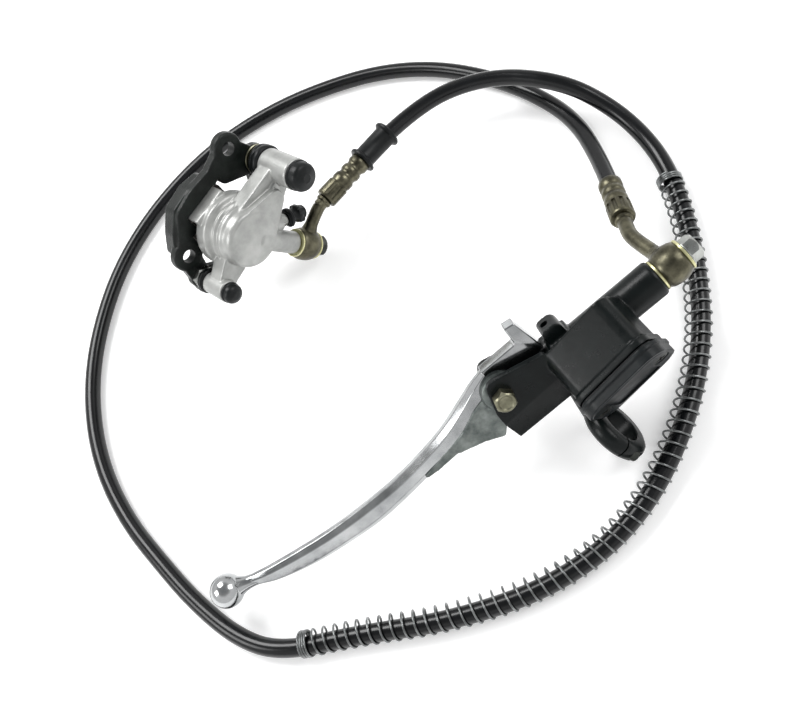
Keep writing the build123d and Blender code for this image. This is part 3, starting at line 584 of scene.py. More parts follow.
def hex_head(name, flats, height, place, spin=0.0, dish=0.0):
    """A bolt head: hexagonal prism whose top corners are turned off."""
    steps = 72
    reach = flats / math.sqrt(3)
    place = place @ turn(spin, "Z")
    verts = []
    for row in range(3):
        for step in range(steps):
            swing = math.tau * step / steps
            wedge = (360 * step / steps) % 60 - 30
            side = flats / 2 / math.cos(math.radians(wedge))
            over = max(0.0, side - flats * 0.475) / (reach - flats * 0.475)
            if row == 0:
                radius, level = side, 0.0
            elif row == 1:
                radius, level = side, height * (1 - 0.22 * over ** 1.5) - 0.03 * flats
            else:
                radius, level = flats * 0.455, height
            verts.append((radius * math.cos(swing), radius * math.sin(swing), level))
    faces = [tuple(reversed(range(steps)))]
    for row in range(2):
        for step in range(steps):
            beside = (step + 1) % steps
            faces.append((row * steps + step, row * steps + beside, (row + 1) * steps + beside,
                          (row + 1) * steps + step))
    inner = len(verts)
    if dish:
        for radius, level in ((flats * 0.38, height), (flats * 0.32, height - dish)):
            for step in range(steps):
                swing = math.tau * step / steps
                verts.append((radius * math.cos(swing), radius * math.sin(swing), level))
        for row in (2, 3):
            for step in range(steps):
                beside = (step + 1) % steps
                faces.append((row * steps + step, row * steps + beside, (row + 1) * steps + beside,
                              (row + 1) * steps + step))
        faces.append(tuple(range(inner + steps, inner + 2 * steps)))
    else:
        faces.append(tuple(range(2 * steps, 3 * steps)))
    return new_mesh(name, verts, faces, place)


def stack_place(seat, toward, distance):
    place = axis_place(seat, toward)
    return place @ shift(0, 0, distance)


PALE_GOLD = surface("pale_gold", (0.5, 0.48, 0.25), (0.76, 0.74, 0.45), 0.32, metallic=0.9, mottle=120,
                    grain=900, bump=0.05)
STEEL = surface("plated_steel", (0.26, 0.27, 0.255), (0.5, 0.51, 0.49), 0.3, metallic=1.0, mottle=130,
                grain=900, bump=0.08)
DARK_STEEL = surface("dark_steel", (0.018, 0.02, 0.018), (0.07, 0.073, 0.066), 0.36, metallic=0.8,
                     mottle=130, grain=1200, bump=0.1)


def build_banjo(prefix, seat, toward, end, beside, neck_run, bolt_finish, bolt_slot, head):
    """Eye, bent neck, washers and hollow bolt at one end of the hose."""
    mid = (seat + (toward - seat).normalized() * 0.0085)
    away = (world(*end) - world(*beside)).normalized()
    mouth = world(*end) + away * 0.033
    corner = mouth + away * neck_run * 0.001
    place = stack_place(seat, toward, 1.5)
    eye = lathe(prefix + "_eye", [
        (5.3, 0.0), (8.2, 0.0), (8.7, 0.4), (9.6, 2.2), (10.2, 4.6), (10.35, 7.0), (10.2, 9.4),
        (9.6, 11.8), (8.7, 13.6), (8.2, 14.0), (5.3, 14.0),
    ], place, hollow=True, steps=80)
    neck = smooth_line(prefix + "_neck", [
        mouth - away * 0.001, mouth + away * 0.003, mouth + away * 0.006,
        corner - away * 0.002, corner + (mid - corner) * 0.18,
        corner + (mid - corner) * 0.5, mid + (corner - mid).normalized() * 0.006,
    ], 0.0040)
    graph = bpy.context.evaluated_depsgraph_get()
    tube = bpy.data.meshes.new_from_object(neck.evaluated_get(graph))
    old = neck.data
    bpy.data.objects.remove(neck)
    bpy.data.curves.remove(old)
    bend = link(bpy.data.objects.new(prefix + "_bend", tube))
    collar = rod(prefix + "_collar", (0, 0, 0), (0, 0, 3.0), 4.9, axis_place(mouth, corner), 0.8)
    root = lathe(prefix + "_root", [(6.4, 6.0), (5.0, 9.4), (4.3, 12.0), (4.0, 13.4)],
                 axis_place(mid, corner))
    fitting = join(prefix + "_fitting", [eye, bend, collar, root])
    smooth(fitting, 35)
    dress(fitting, OLIVE_ZINC, "brake_set", prefix + "_banjo_fitting", slot="olive_gold")
    washers = []
    for low in (0.0, 15.5):
        place = stack_place(seat, toward, low)
        washers.append(lathe("washer", [
            (5.3, 0.02), (8.3, 0.02), (8.7, 0.3), (8.7, 1.2), (8.3, 1.48), (5.3, 1.48),
        ], place, hollow=True, steps=80))
    ring = join(prefix + "_washers", washers)
    smooth(ring, 32)
    dress(ring, PALE_GOLD, "brake_set", prefix + "_banjo_washers", slot="pale_gold")
    place = stack_place(seat, toward, 17.0)
    hexed = hex_head("head", 12.0, head - 0.6, place @ shift(0, 0, 0.6), spin=18, dish=0.7)
    flange = lathe("flange", [(7.4, 0.02), (7.7, 0.25), (7.7, 0.7), (7.0, 1.0)], place)
    bolt = join(prefix + "_bolt", [hexed, flange])
    smooth(bolt, 24)
    dress(bolt, bolt_finish, "brake_set", prefix + "_banjo_bolt", slot=bolt_slot)


PORT_ANGLE = -61.4
MASTER_SEAT = local(BORE, 0, 0, 94.0)
MASTER_OUT = local(BORE, 0, 0, 100.0)
CALIPER_SEAT = local(CALIPER, *polar(PORT_ANGLE, 36.5, 24.0))
CALIPER_OUT = local(CALIPER, *polar(PORT_ANGLE, 46.5, 24.0))
build_banjo("master", MASTER_SEAT, MASTER_OUT, ROUTE[0], ROUTE[1], 16.0, STEEL, "steel", 7.0)
build_banjo("caliper", CALIPER_SEAT, CALIPER_OUT, ROUTE[-1], ROUTE[-2], 7.0, DARK_STEEL, "dark_steel", 7.0)


# Master cylinder casting and its handlebar clamp
# One die casting in alloy, painted black: bore tube, two ears for the lever, fluid pot and clamp saddle.
# The second half of the clamp is a casting of its own and closes round the handlebar.

BAR = MASTER @ shift(29.1, -55.6, 13.3) @ turn(13.5, "Z") @ turn(-9.8, "Y")
BAR_AXIS = BAR @ turn(90, "Y")
RESERVOIR = MASTER @ shift(49.9, -4.0, 8.0) @ turn(13.5, "Z") @ turn(-9.8, "Y") @ turn(41.8, "X")


def prism(name, outline, low, high, place):
    """A flat plate with straight sides between two heights."""
    count = len(outline)
    verts = [(x, y, low) for x, y in outline] + [(x, y, high) for x, y in outline]
    faces = [tuple(reversed(range(count))), tuple(range(count, 2 * count))]
    for step in range(count):
        beside = (step + 1) % count
        faces.append((step, beside, count + beside, count + step))
    return new_mesh(name, verts, faces, place)


def rounded(corners, steps=7):
    """An outline from (x, y, radius) corners."""
    points = []
    count = len(corners)
    for step in range(count):
        before = Vector(corners[step - 1][:2])
        x, y, radius = corners[step]
        after = Vector(corners[(step + 1) % count][:2])
        here = Vector((x, y))
        arrive = (here - before).normalized()
        leave = (after - here).normalized()
        bend = arrive.angle_signed(leave)
        if radius <= 0 or abs(bend) < 0.02:
            points.append((x, y))
            continue
        cut = radius * math.tan(abs(bend) / 2)
        start = here - arrive * cut
        side = -1 if bend > 0 else 1
        centre = start + Vector((-arrive.y, arrive.x)) * radius * side
        spoke = start - centre
        for part in range(steps + 1):
            swing = -bend * part / steps
            c, s = math.cos(swing), math.sin(swing)
            points.append((centre.x + spoke.x * c - spoke.y * s, centre.y + spoke.x * s + spoke.y * c))
    return points


def rectangle(length, width, corner):
    a, b = length / 2, width / 2
    return rounded([(-a, -b, corner), (a, -b, corner), (a, b, corner), (-a, b, corner)], 10)


def block(name, x, y, z, place):
    outline = [(x[0], y[0]), (x[1], y[0]), (x[1], y[1]), (x[0], y[1])]
    return prism(name, outline, z[0], z[1], place)


def cast(name, pieces, grain=0.55, softness=5):
    """One casting from overlapping closed pieces, with small fillets where they meet."""
    obj = join(name, pieces)
    melt = obj.modifiers.new("melt", "REMESH")
    melt.mode = "VOXEL"
    melt.voxel_size = grain * 0.001
    ease = obj.modifiers.new("ease", "SMOOTH")
    ease.factor = 0.5
    ease.iterations = softness
    freeze(obj)
    obj.data.shade_smooth()
    return obj


BLACK_CAST = surface("black_cast", (0.0014, 0.0026, 0.0026), (0.004, 0.0062, 0.0062), 0.32, mottle=90,
                     grain=1500, bump=0.2, coat=0.06, shine=0.18)
EAR_IN = 8.2
EAR_OUT = 12.2
BAR_RADIUS = 11.1
CLAMP_OUT = 18.3
BOLT_SPREAD = 14.7


def ear_plate(name, side):
    """One ear: flat above the crease, bent back below it."""
    inner, outer = side * EAR_IN, side * EAR_OUT
    top = rounded([(33, 3.3, 1.5), (-2.6, 12.2, 5.0), (-8.7, -5.6, 4.0), (-9.3, -13.0, 0)], 6)
    top += [(33, -11.0)]
    low = min(inner, outer)
    high = max(inner, outer)
    upper = prism(name + "_upper", top, low, high, MASTER)
    edge = [(-9.3, -13.0), (33, -11.0), (30, -25.8), (-8.3, -25.8)]
    verts = []
    for x, y in edge:
        bent = side * 2.6 if y < -20 else 0.0
        verts.append((x, y, outer - bent))
    for x, y in edge:
        verts.append((x, y, inner if y > -20 else inner - side * 1.2))
    faces = [(0, 1, 2, 3), (7, 6, 5, 4), (0, 4, 5, 1), (1, 5, 6, 2), (2, 6, 7, 3), (3, 7, 4, 0)]
    lower = new_mesh(name + "_lower", verts, faces, MASTER)
    return [upper, lower]


def clamp_half(side, name):
    """Half of the crowned clamp ring, bored for the bar."""
    half = 5.0
    profile = [
        (BAR_RADIUS, -half + 0.5), (BAR_RADIUS + 0.5, -half), (CLAMP_OUT - 3.0, -half),
        (CLAMP_OUT - 0.9, -half + 1.3), (CLAMP_OUT, -half + 3.4), (CLAMP_OUT, half - 3.4),
        (CLAMP_OUT - 0.9, half - 1.3), (CLAMP_OUT - 3.0, half), (BAR_RADIUS + 0.5, half),
        (BAR_RADIUS, half - 0.5),
    ]
    ring = lathe(name, profile, BAR_AXIS, steps=96, hollow=True)
    span = (-30, 0.4) if side > 0 else (-0.4, 30)
    cutters = [block("half", (-20, 20), span, (-30, 30), BAR)]
    for height in (-BOLT_SPREAD, BOLT_SPREAD):
        if side < 0:
            cutters.append(rod("seat", (0, -5.5, height), (0, -25, height), 3.4, BAR))
            cutters.append(rod("hole", (0, -6.0, height), (0, 1.0, height), 2.1, BAR))
    return cut(ring, cutters)


def build_master_body():
    tube = lathe("tube", [(9.2, 26.0), (10.0, 26.6), (10.0, 92.4), (9.3, 93.9)], BORE)
    pieces = [tube]
    for side, name in ((1, "front_ear"), (-1, "back_ear")):
        pieces += ear_plate(name, side)
    pieces.append(block("web", (4, 32), (-25.6, -20.0), (-9.5, 9.5), MASTER))
    pieces.append(block("block", (26.2, 36), (-24, -0.6), (-EAR_OUT, EAR_OUT), MASTER))
    lug = prism("lug", rounded([(33.7, -8, 0), (44.5, -8, 0), (44.5, 10.4, 4.2), (33.7, 10.4, 3.0)]),
                -6.4, 6.4, MASTER)
    pieces.append(lug)
    collar = prism("lug_foot", rounded([(32.5, -8, 0), (46, -8, 0), (46, 2.0, 1.0), (32.5, 2.0, 1.0)]),
                   -7.5, 7.5, MASTER)
    pieces.append(collar)
    pot = prism("pot", rectangle(45.0, 27.4, 7), -3.0, 24.0, RESERVOIR)
    rim = prism("rim", rectangle(47.4, 29.8, 7.6), 22.8, 26.4, RESERVOIR)
    pieces += [pot, rim]
    foot = local(MASTER.inverted() @ BAR, 0, BAR_RADIUS + 3.0, -4)
    pieces.append(rod("arm", (31, -16, 1), tuple(foot), 5.0, MASTER))
    body = cast("master_casting", pieces, grain=0.5, softness=4)
    saddle = clamp_half(1, "saddle")
    cut(body, [
        block("slot", (-14, 26.0), (-19.8, 20), (-EAR_IN + 0.05, EAR_IN - 0.05), MASTER),
        rod("bore", (24, -BORE_BACK, 0), (60, -BORE_BACK, 0), 6.4, MASTER),
        rod("bar", (-30, 0, 0), (30, 0, 0), BAR_RADIUS, BAR),
        rod("lug_hole", (38, 3, 0), (38, 12, 0), 2.2, MASTER),
    ])
    smooth(body, 40)
    smooth(saddle, 40)
    whole = join("master_body", [body, saddle])
    dress(whole, BLACK_CAST, "brake_set", "master_cylinder_body", slot="black_casting")
    rear = clamp_half(-1, "bar_clamp")
    smooth(rear, 40)
    dress(rear, BLACK_CAST, "brake_set", "handlebar_clamp", slot="black_casting")


build_master_body()


# Clamp bolts
# Two small socket screws in dark steel, through the outer half of the clamp into the saddle.


def hexagon(flats, spin=0.0):
    reach = flats / math.sqrt(3)
    return [(reach * math.cos(math.radians(60 * k + spin)), reach * math.sin(math.radians(60 * k + spin)))
            for k in range(6)]


def build_clamp_bolts():
    bolts = []
    for height in (-BOLT_SPREAD, BOLT_SPREAD):
        place = BAR @ shift(0, -5.5, height) @ turn(90, "X")
        head = lathe("head", [(2.0, -12.0), (2.0, 0.0), (3.0, 0.02), (3.1, 0.4), (3.1, 3.6), (2.8, 4.0),
                              (2.0, 4.0)],
                     place, steps=48)
        cut(head, [prism("socket", hexagon(3.4), 1.8, 5.0, place)])
        bolts.append(head)
    pair = join("bar_clamp_bolts", bolts)
    smooth(pair, 30)
    dress(pair, DARK_STEEL, "brake_set", "clamp_bolts", slot="dark_steel")


build_clamp_bolts()


# Reservoir lid, its screws and seal
# A black plastic lid with a stepped skirt and a sunk panel, left bare.
# Two countersunk cross head screws press it on a rubber seal.


def crisp(obj, width=0.4, segments=2, angle=30):
    """Small rounded edges on a machined or moulded piece."""
    edge = obj.modifiers.new("edge", "BEVEL")
    edge.width = width * 0.001
    edge.segments = segments
    edge.limit_method = "ANGLE"
    edge.angle_limit = math.radians(angle)
    edge.use_clamp_overlap = True
    obj.data.shade_smooth()
    even = obj.modifiers.new("even", "WEIGHTED_NORMAL")
    even.keep_sharp = True
    return obj


BLACK_MOULDED = surface("black_moulded", (0.003, 0.0045, 0.005), (0.008, 0.0105, 0.0115), 0.38, mottle=70,
                        grain=1800, bump=0.14, shine=0.22)
CAP_LOW = 27.7
CAP_HIGH = 34.7
SCREW_SPREAD = 18.8


def build_cap():
    """Reservoir lid: a skirt, a step, a crowned rim, a sunk panel and two countersunk screw seats."""
    skirt = prism("skirt", rectangle(51.0, 32.2, 11.0), CAP_LOW, CAP_LOW + 2.2, RESERVOIR)
    upper = prism("lid", rectangle(49.4, 30.6, 10.4), CAP_LOW + 1.0, CAP_HIGH - 0.4, RESERVOIR)
    crown = prism("crown", rectangle(46.4, 27.6, 9.4), CAP_LOW + 2.0, CAP_HIGH, RESERVOIR)
    cap = cast("lid_shell", [skirt, upper, crown], grain=0.32, softness=3)
    tools = [prism("panel", rectangle(27.0, 22.6, 2.2), CAP_HIGH - 0.9, CAP_HIGH + 2, RESERVOIR)]
    for end in (-SCREW_SPREAD, SCREW_SPREAD):
        place = RESERVOIR @ shift(end, 0, CAP_HIGH - 2.2)
        tools.append(lathe("seat", [(2.2, -8), (2.2, 0), (4.7, 2.0), (5.1, 3.0)], place, steps=48))
    cut(cap, tools)
    smooth(cap, 40)
    cap.name = "reservoir_lid"
    dress(cap, BLACK_MOULDED, "brake_set", "reservoir_cap", slot="black_plastic")
    screws = []
    for end, spin in ((-SCREW_SPREAD, 25), (SCREW_SPREAD, 62)):
        place = RESERVOIR @ shift(end, 0, CAP_HIGH - 0.7) @ turn(spin, "Z")
        head = lathe("head", [(1.8, -10), (1.8, -2.0), (4.0, -0.5), (4.2, -0.1), (4.0, 0.25), (3.0, 0.4)],
                     place, steps=48)
        cut(head, [
            block("slot", (-2.4, 2.4), (-0.5, 0.5), (-0.9, 2), place),
            block("slot", (-0.5, 0.5), (-2.4, 2.4), (-0.9, 2), place),
        ])
        screws.append(head)
    pair = join("lid_screws", screws)
    smooth(pair, 30)
    dress(pair, DARK_STEEL, "brake_set", "cap_screws", slot="dark_steel")
    seal = prism("lid_seal", rectangle(45.0, 27.4, 6.6), 26.5, 27.7, RESERVOIR)
    crisp(seal, 0.2)
    dress(seal, RUBBER, "brake_set", "reservoir_diaphragm", slot="rubber")


build_cap()


# Lever pivot
# A shouldered hexagon bolt in dull gold plated steel, with its nut under the far ear.

GOLD_ZINC = surface("gold_zinc", (0.15, 0.145, 0.1), (0.37, 0.36, 0.26), 0.34, metallic=1.0, mottle=150,
                    grain=900, bump=0.08)


def build_pivot():
    head = hex_head("pivot_head", 10.6, 5.4, MASTER @ shift(0, 0, EAR_OUT + 0.05), spin=12, dish=0.5)
    shank = rod("shank", (0, 0, -EAR_OUT), (0, 0, EAR_OUT), 4.0, MASTER)
    tail = rod("tail", (0, 0, -EAR_OUT - 6.9), (0, 0, -EAR_OUT + 1), 3.0, MASTER, 0.6)
    bolt = join("pivot_bolt", [head, shank, tail])
    smooth(bolt, 24)
    dress(bolt, GOLD_ZINC, "brake_set", "lever_pivot_bolt", slot="gold_steel")
    nut = hex_head("pivot_nut", 10.0, 5.0, MASTER @ shift(0, 0, -EAR_OUT) @ turn(180, "X"), spin=5)
    cut(nut, [rod("hole", (0, 0, -EAR_OUT - 9), (0, 0, -EAR_OUT + 1), 3.05, MASTER)])
    smooth(nut, 24)
    dress(nut, GOLD_ZINC, "brake_set", "lever_pivot_nut", slot="gold_steel")


build_pivot()


# Lever
# An alloy casting: hub, cam and web are left rough, blade, hook and ball end are polished. The rough parts
# are also coloured darker as painted shade for the lever's lower side.
# The blade is bevelled along both edges and thins towards the ball.

POLISHED = surface("polished_alloy", (0.31, 0.32, 0.325), (0.53, 0.54, 0.545), 0.16, metallic=1.0,
                   mottle=45, grain=700, bump=0.03, spread=0.1)
# Rough cast alloy: its grain is real, but its dark, cold colour is partly painted shade for the web and the
# lever's lower edge.
ROUGH_SHADED_ALLOY = surface("rough_shaded_alloy", (0.09, 0.105, 0.1), (0.27, 0.295, 0.28), 0.44, metallic=0.9,
                      mottle=130, grain=800, bump=0.45, depth=0.0004, spread=0.25)


def capsule(first, second, steps=16):
    """The outline round two discs, each (x, y, radius)."""
    (x1, y1, r1), (x2, y2, r2) = first, second
    run = Vector((x2 - x1, y2 - y1))
    heading = math.atan2(run.y, run.x)
    spread = math.acos(max(-1.0, min(1.0, (r1 - r2) / run.length)))
    points = []
    for x, y, radius, start, stop in (
        (x2, y2, r2, heading - spread, heading + spread),
        (x1, y1, r1, heading + spread, heading + math.tau - spread),
    ):
        for step in range(steps + 1):
            swing = start + (stop - start) * step / steps
            points.append((x + radius * math.cos(swing), y + radius * math.sin(swing)))
    return points


def blend_rows(rows, share):
    """Smoothly between given rows, share from 0 to 1 along them."""
    span = share * (len(rows) - 1)
    at = min(int(span), len(rows) - 2)
    t = span - at
    rows_near = [rows[max(at - 1, 0)], rows[at], rows[at + 1], rows[min(at + 2, len(rows) - 1)]]
    values = []
    for a, b, c, d in zip(*rows_near):
        values.append(0.5 * (2 * b + (c - a) * t + (2 * a - 5 * b + 4 * c - d) * t * t
                             + (3 * b - a - 3 * c + d) * t ** 3))
    return values


BLADE = [
    # x, upper edge, lower edge, half thickness, bevel
    (1, 14.0, -2.0, 3.9, 1.4),
    (-10, 11.4, -7.5, 4.7, 2.2),
    (-21, 7.6, -11.6, 5.1, 2.6),
    (-35, 3.0, -12.0, 5.0, 2.8),
    (-50, 0.0, -12.6, 4.8, 2.9),
    (-72, -2.4, -15.2, 4.7, 3.0),
    (-95, -2.3, -16.4, 4.7, 3.0),
    (-118, -0.8, -14.2, 4.6, 2.8),
    (-140, 2.5, -10.4, 4.4, 2.5),
    (-158, 6.0, -4.6, 4.0, 2.0),
    (-168, 8.7, 1.0, 3.5, 1.6),
    (-173, 9.9, 3.6, 2.9, 1.1),
]


def build_lever():
    sections = 60
    verts, faces = [], []
    for step in range(sections + 1):
        x, top, bottom, half, bevel = blend_rows(BLADE, step / sections)
        ring = [
            (top, -half * 0.35), (top, half * 0.35), (top - bevel, half),
            (bottom + bevel * 1.2, half * 0.92), (bottom, half * 0.3), (bottom, -half * 0.3),
            (bottom + bevel * 1.2, -half * 0.92), (top - bevel, -half),
        ]
        verts += [(x, y, z) for y, z in ring]
    for step in range(sections):
        for side in range(8):
            a = step * 8 + side
            b = step * 8 + (side + 1) % 8
            faces.append((a, b, b + 8, a + 8))
    faces.append(tuple(range(8)))
    faces.append(tuple(reversed(range(sections * 8, sections * 8 + 8))))
    blade = new_mesh("blade", verts, faces, MASTER)
    crisp(blade, 0.55, 3, 18)
    freeze(blade)

    hook = prism("hook", rounded([
        (31, 2.6, 0.8), (27.8, 23.4, 0.8), (22.2, 24.4, 0.8), (21.4, 14.2, 1.5), (-1.0, 14.2, 0),
        (-1.0, -4.0, 0), (6, -7, 3), (19, -2.3, 2), (24, 0.2, 1),
    ], 5), -4.0, 4.0, MASTER)
    crisp(hook, 0.9, 3, 25)
    freeze(hook)
    hub = lathe("hub", [(9.4, -7.7), (10.0, -7.1), (10.0, 7.1), (9.4, 7.7)], MASTER)
    cam = prism("cam", capsule((0, 0, 9.6), (15.4, -10.0, 5.0)), -7.6, 7.6, MASTER)
    flare = prism("flare", rounded([
        (-3, 4, 0), (-17, 1.0, 6), (-30, -5.0, 8), (-40, -8.5, 2), (-38, -12.8, 3), (-24, -17.2, 6),
        (-14, -22.4, 1.8), (-5, -12.6, 2), (1, -8, 0),
    ], 6), -5.7, 5.7, MASTER)
    web = prism("web", rounded([
        (-20, -2, 0), (-40, -7.0, 8), (-66, -11.8, 1.0), (-52, -13.2, 8), (-38, -12.6, 8), (-20, -16.4, 0),
    ], 6), -5.0, 5.0, MASTER)
    rough = cast("lever_root", [hub, cam, flare, web], grain=0.5, softness=9)
    cut(rough, [rod("bore", (0, 0, -12), (0, 0, 12), 4.06, MASTER)])
    cut(hook, [rod("bore", (0, 0, -12), (0, 0, 12), 4.3, MASTER)])
    smooth(rough, 45)

    ball = lathe("ball", [
        (9.5 * math.sin(math.pi * k / 24) + 1e-5, -9.5 * math.cos(math.pi * k / 24)) for k in range(25)
    ], MASTER @ shift(-184.6, 11.0, 0), steps=64)
    foot, middle = Vector((-170, 5.7, 0)), Vector((-184.6, 11.0, 0))
    along = (middle - foot).to_track_quat("Z", "Y").to_matrix().to_4x4()
    neck = lathe("neck", [
        (2.4, -9.0), (3.3, -4.0), (3.6, 0.0), (3.8, 2.6), (4.3, 4.6), (5.0, 6.4), (5.9, 8.6),
    ], MASTER @ Matrix.Translation(foot) @ along)
    tip = join("tip", [ball, neck])
    smooth(tip, 50)
    shine = join("lever_blade", [blade, hook, tip])
    smooth(shine, 28)
    dress(shine, POLISHED, "lever", "brake_lever", slot="polished_alloy")
    dress(rough, ROUGH_SHADED_ALLOY, "lever", "brake_lever", slot="polished_alloy")


build_lever()


# Inside the master cylinder
# Piston, two rubber cups, return spring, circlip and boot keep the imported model's own shapes.


def paint(name, finish):
    obj = frame["nodes"][name]
    obj.data.materials.clear()
    obj.data.materials.append(finish)


def build_inside_master():
    for name, finish in (
        ("master_piston", STEEL), ("secondary_cup", RUBBER), ("primary_cup", RUBBER),
        ("master_return_spring", SPRING), ("piston_circlip", SPRING), ("piston_boot", RUBBER),
    ):
        paint(name, finish)


build_inside_master()


# Caliper casting
# A die casting in alloy, painted silver: ringed piston housing, two arms with pin bosses, the port
# for the hose, the bleed boss, and the bridge with the claw that holds the inner pad.

SILVER_CAST = surface("silver_cast", (0.29, 0.295, 0.285), (0.45, 0.455, 0.44), 0.36, metallic=0.45,
                      mottle=80, grain=1100, bump=0.22)
UPPER_PIN = (43.0, 10.5)
LOWER_PIN = (-32.5, -11.0)


def arm_to(name, x, y, radius, low, high, root=15.0):
    return prism(name, capsule((0, 0, root), (x, y, radius)), low, high, CALIPER)


def build_caliper_body():
    drum = lathe("drum", [
        (21.4, 3.3), (22.8, 4.4), (22.8, 11.6), (22.2, 12.6), (20.0, 13.6), (19.2, 14.6), (19.2, 15.4),
        (20.4, 16.4), (20.4, 17.6), (18.8, 18.8), (18.8, 19.6), (19.5, 20.6), (19.3, 22.2), (18.2, 24.0),
        (17.8, 27.6), (17.1, 29.2), (15.8, 30.0),
    ], CALIPER, steps=96)
    pieces = [drum]
    pieces.append(prism("tear", capsule((0, 0, 16.6), (25.5, 4.2, 6.4)), 20.0, 29.6, CALIPER))
    pieces.append(arm_to("upper_arm", *UPPER_PIN, 7.4, 14.0, 25.0, 17.0))
    pieces.append(prism("ridge", capsule((10, 2.4, 3.0), (37, 9.0, 2.4)), 24.0, 27.4, CALIPER))
    pieces.append(arm_to("lower_arm", *LOWER_PIN, 4.8, 12.5, 23.0, 12.0))
    pieces.append(rod("upper_boss", (*UPPER_PIN, 12.0), (*UPPER_PIN, 38.0), 9.4, CALIPER, 0.8))
    pieces.append(rod("lower_boss", (*LOWER_PIN, 9.0), (*LOWER_PIN, 27.0), 6.8, CALIPER, 0.6))
    pieces.append(rod("port", polar(PORT_ANGLE, 6, 24), polar(PORT_ANGLE, 36.3, 24), 7.0, CALIPER, 0.6))
    pieces.append(rod("bleed_boss", polar(-32, 6, 24), polar(-32, 23.9, 24), 5.2, CALIPER, 0.5))
    pieces.append(block("bridge", (-12, 12), (19.8, 22.9), (-24.0, 8.0), CALIPER))
    pieces.append(block("bridge_foot", (-12, 12), (11, 22.9), (3.2, 8.0), CALIPER))
    pieces.append(block("claw", (-12, 12), (-12, 22.9), (-24.0, -18.6), CALIPER))
    body = cast("caliper_casting", pieces, grain=0.5, softness=4)
    cut(body, [
        rod("bore", (0, 0, 0), (0, 0, 26), 13.55, CALIPER),
        rod("upper_bore", (*UPPER_PIN, 5), (*UPPER_PIN, 40), 4.05, CALIPER),
        rod("lower_bore", (*LOWER_PIN, 5), (*LOWER_PIN, 30), 3.35, CALIPER),
        rod("port_bore", polar(PORT_ANGLE, 26, 24), polar(PORT_ANGLE, 40, 24), 5.05, CALIPER),
    ])
    smooth(body, 42)
    dress(body, SILVER_CAST, "brake_set", "caliper_body", slot="silver_casting")


build_caliper_body()


# Mounting bracket
# A thick cast plate, painted black and rough at its back, with a window for the pads.
# Its two lugs bolt to the fork, and both slide pins are fixed in it.

BLACK_PLATE = surface("black_plate", (0.003, 0.004, 0.0036), (0.012, 0.0155, 0.0135), 0.36, mottle=110,
                      grain=900, bump=0.45, depth=0.0004, coat=0.08, shine=0.24)
UPPER_LUG = (34.0, 30.5)
LOWER_LUG = (-28.5, 6.3)


def build_bracket():
    discs = [(*UPPER_PIN, 8.8), (*UPPER_LUG, 9.5), (*LOWER_LUG, 9.8), (*LOWER_PIN, 7.4)]
    upper = [(*UPPER_PIN, 5.6), (*UPPER_LUG, 6.4), (16, 27.5, 4.6), (0, 26.0, 7.2), (-11, 23.5, 7.8),
             (-21, 15, 6.0), (*LOWER_LUG, 7.0)]
    lower = [(*LOWER_LUG, 7.4), (*LOWER_PIN, 6.4), (-35, -17, 5.0)]
    under = [(*LOWER_PIN, 5.9), (-18, -22, 3.9), (0, -25, 3.9), (18, -22, 3.9), (34, -4, 4.9),
             (*UPPER_PIN, 7.9)]
    arch = [(10, 27.6, 3.8), (0, 28.4, 5.2), (-12, 26.6, 5.6), (-22, 19, 4.6), (-29, 11, 4.2)]
    pieces = [rod("lug", (x, y, -5.9), (x, y, -0.1), radius, CALIPER, 0.7) for x, y, radius in discs]
    for row, low, high in ((upper, -5.9, -0.3), (lower, -5.9, -0.3), (under, -5.9, -0.3),
                           (arch, -12.1, -3.0)):
        for first, second in zip(row, row[1:]):
            pieces.append(prism("plate", capsule(first, second), low, high, CALIPER))
    pieces.append(prism("plate", capsule((*UPPER_PIN, 8.0), (22, 20, 4.9)), -5.9, -0.3, CALIPER))
    body = cast("bracket_casting", pieces, grain=0.5, softness=3)
    tools = [
        block("window", (-18.5, 18.5), (-14.5, 12.5), (-9, 3), CALIPER),
        block("bridge_room", (-12.7, 12.7), (0, 23.5), (-24, 3), CALIPER),
    ]
    for x, y in (UPPER_LUG, LOWER_LUG):
        tools.append(rod("lug", (x, y, -9), (x, y, 3), 4.2, CALIPER))
    for (x, y), radius in ((UPPER_PIN, 4.05), (LOWER_PIN, 3.35)):
        tools.append(rod("pin", (x, y, -9), (x, y, 3), radius, CALIPER))
    cut(body, tools)
    smooth(body, 42)
    body.name = "bracket_plate"
    dress(body, BLACK_PLATE, "bracket", "mounting_bracket", slot="black_plate")


build_bracket()


# Slide pins and their nuts
# Two steel pins that the caliper slides on. The upper one has a short gold nut on a washer,
# the lower one a plain steel nut.


def build_pins():
    paint("upper_slide_pin", STEEL)
    paint("lower_slide_pin", STEEL)
    washer = lathe("washer", [(4.1, 0.0), (8.6, 0.0), (8.9, 0.3), (8.9, 0.9), (8.6, 1.2), (4.1, 1.2)],
                   CALIPER @ shift(*UPPER_PIN, 0.0), hollow=True)
    nut = hex_head("nut", 13.0, 2.0, CALIPER @ shift(*UPPER_PIN, 1.2), spin=8)
    cut(nut, [rod("hole", (*UPPER_PIN, -1), (*UPPER_PIN, 6), 4.1, CALIPER)])
    upper = join("upper_pin_nut", [washer, nut])
    smooth(upper, 24)
    dress(upper, GOLD_ZINC, "bracket", "pin_nuts", slot="gold_steel")
    lower = hex_head("lower_pin_nut", 12.6, 3.2, CALIPER @ shift(*LOWER_PIN, 0.0), spin=20)
    cut(lower, [rod("hole", (*LOWER_PIN, -1), (*LOWER_PIN, 6), 3.4, CALIPER)])
    smooth(lower, 24)
    dress(lower, STEEL, "bracket", "pin_nuts", slot="steel")


build_pins()


# Pin boots
# Soft rubber collars between bracket and bosses, which keep dirt off the slide pins.


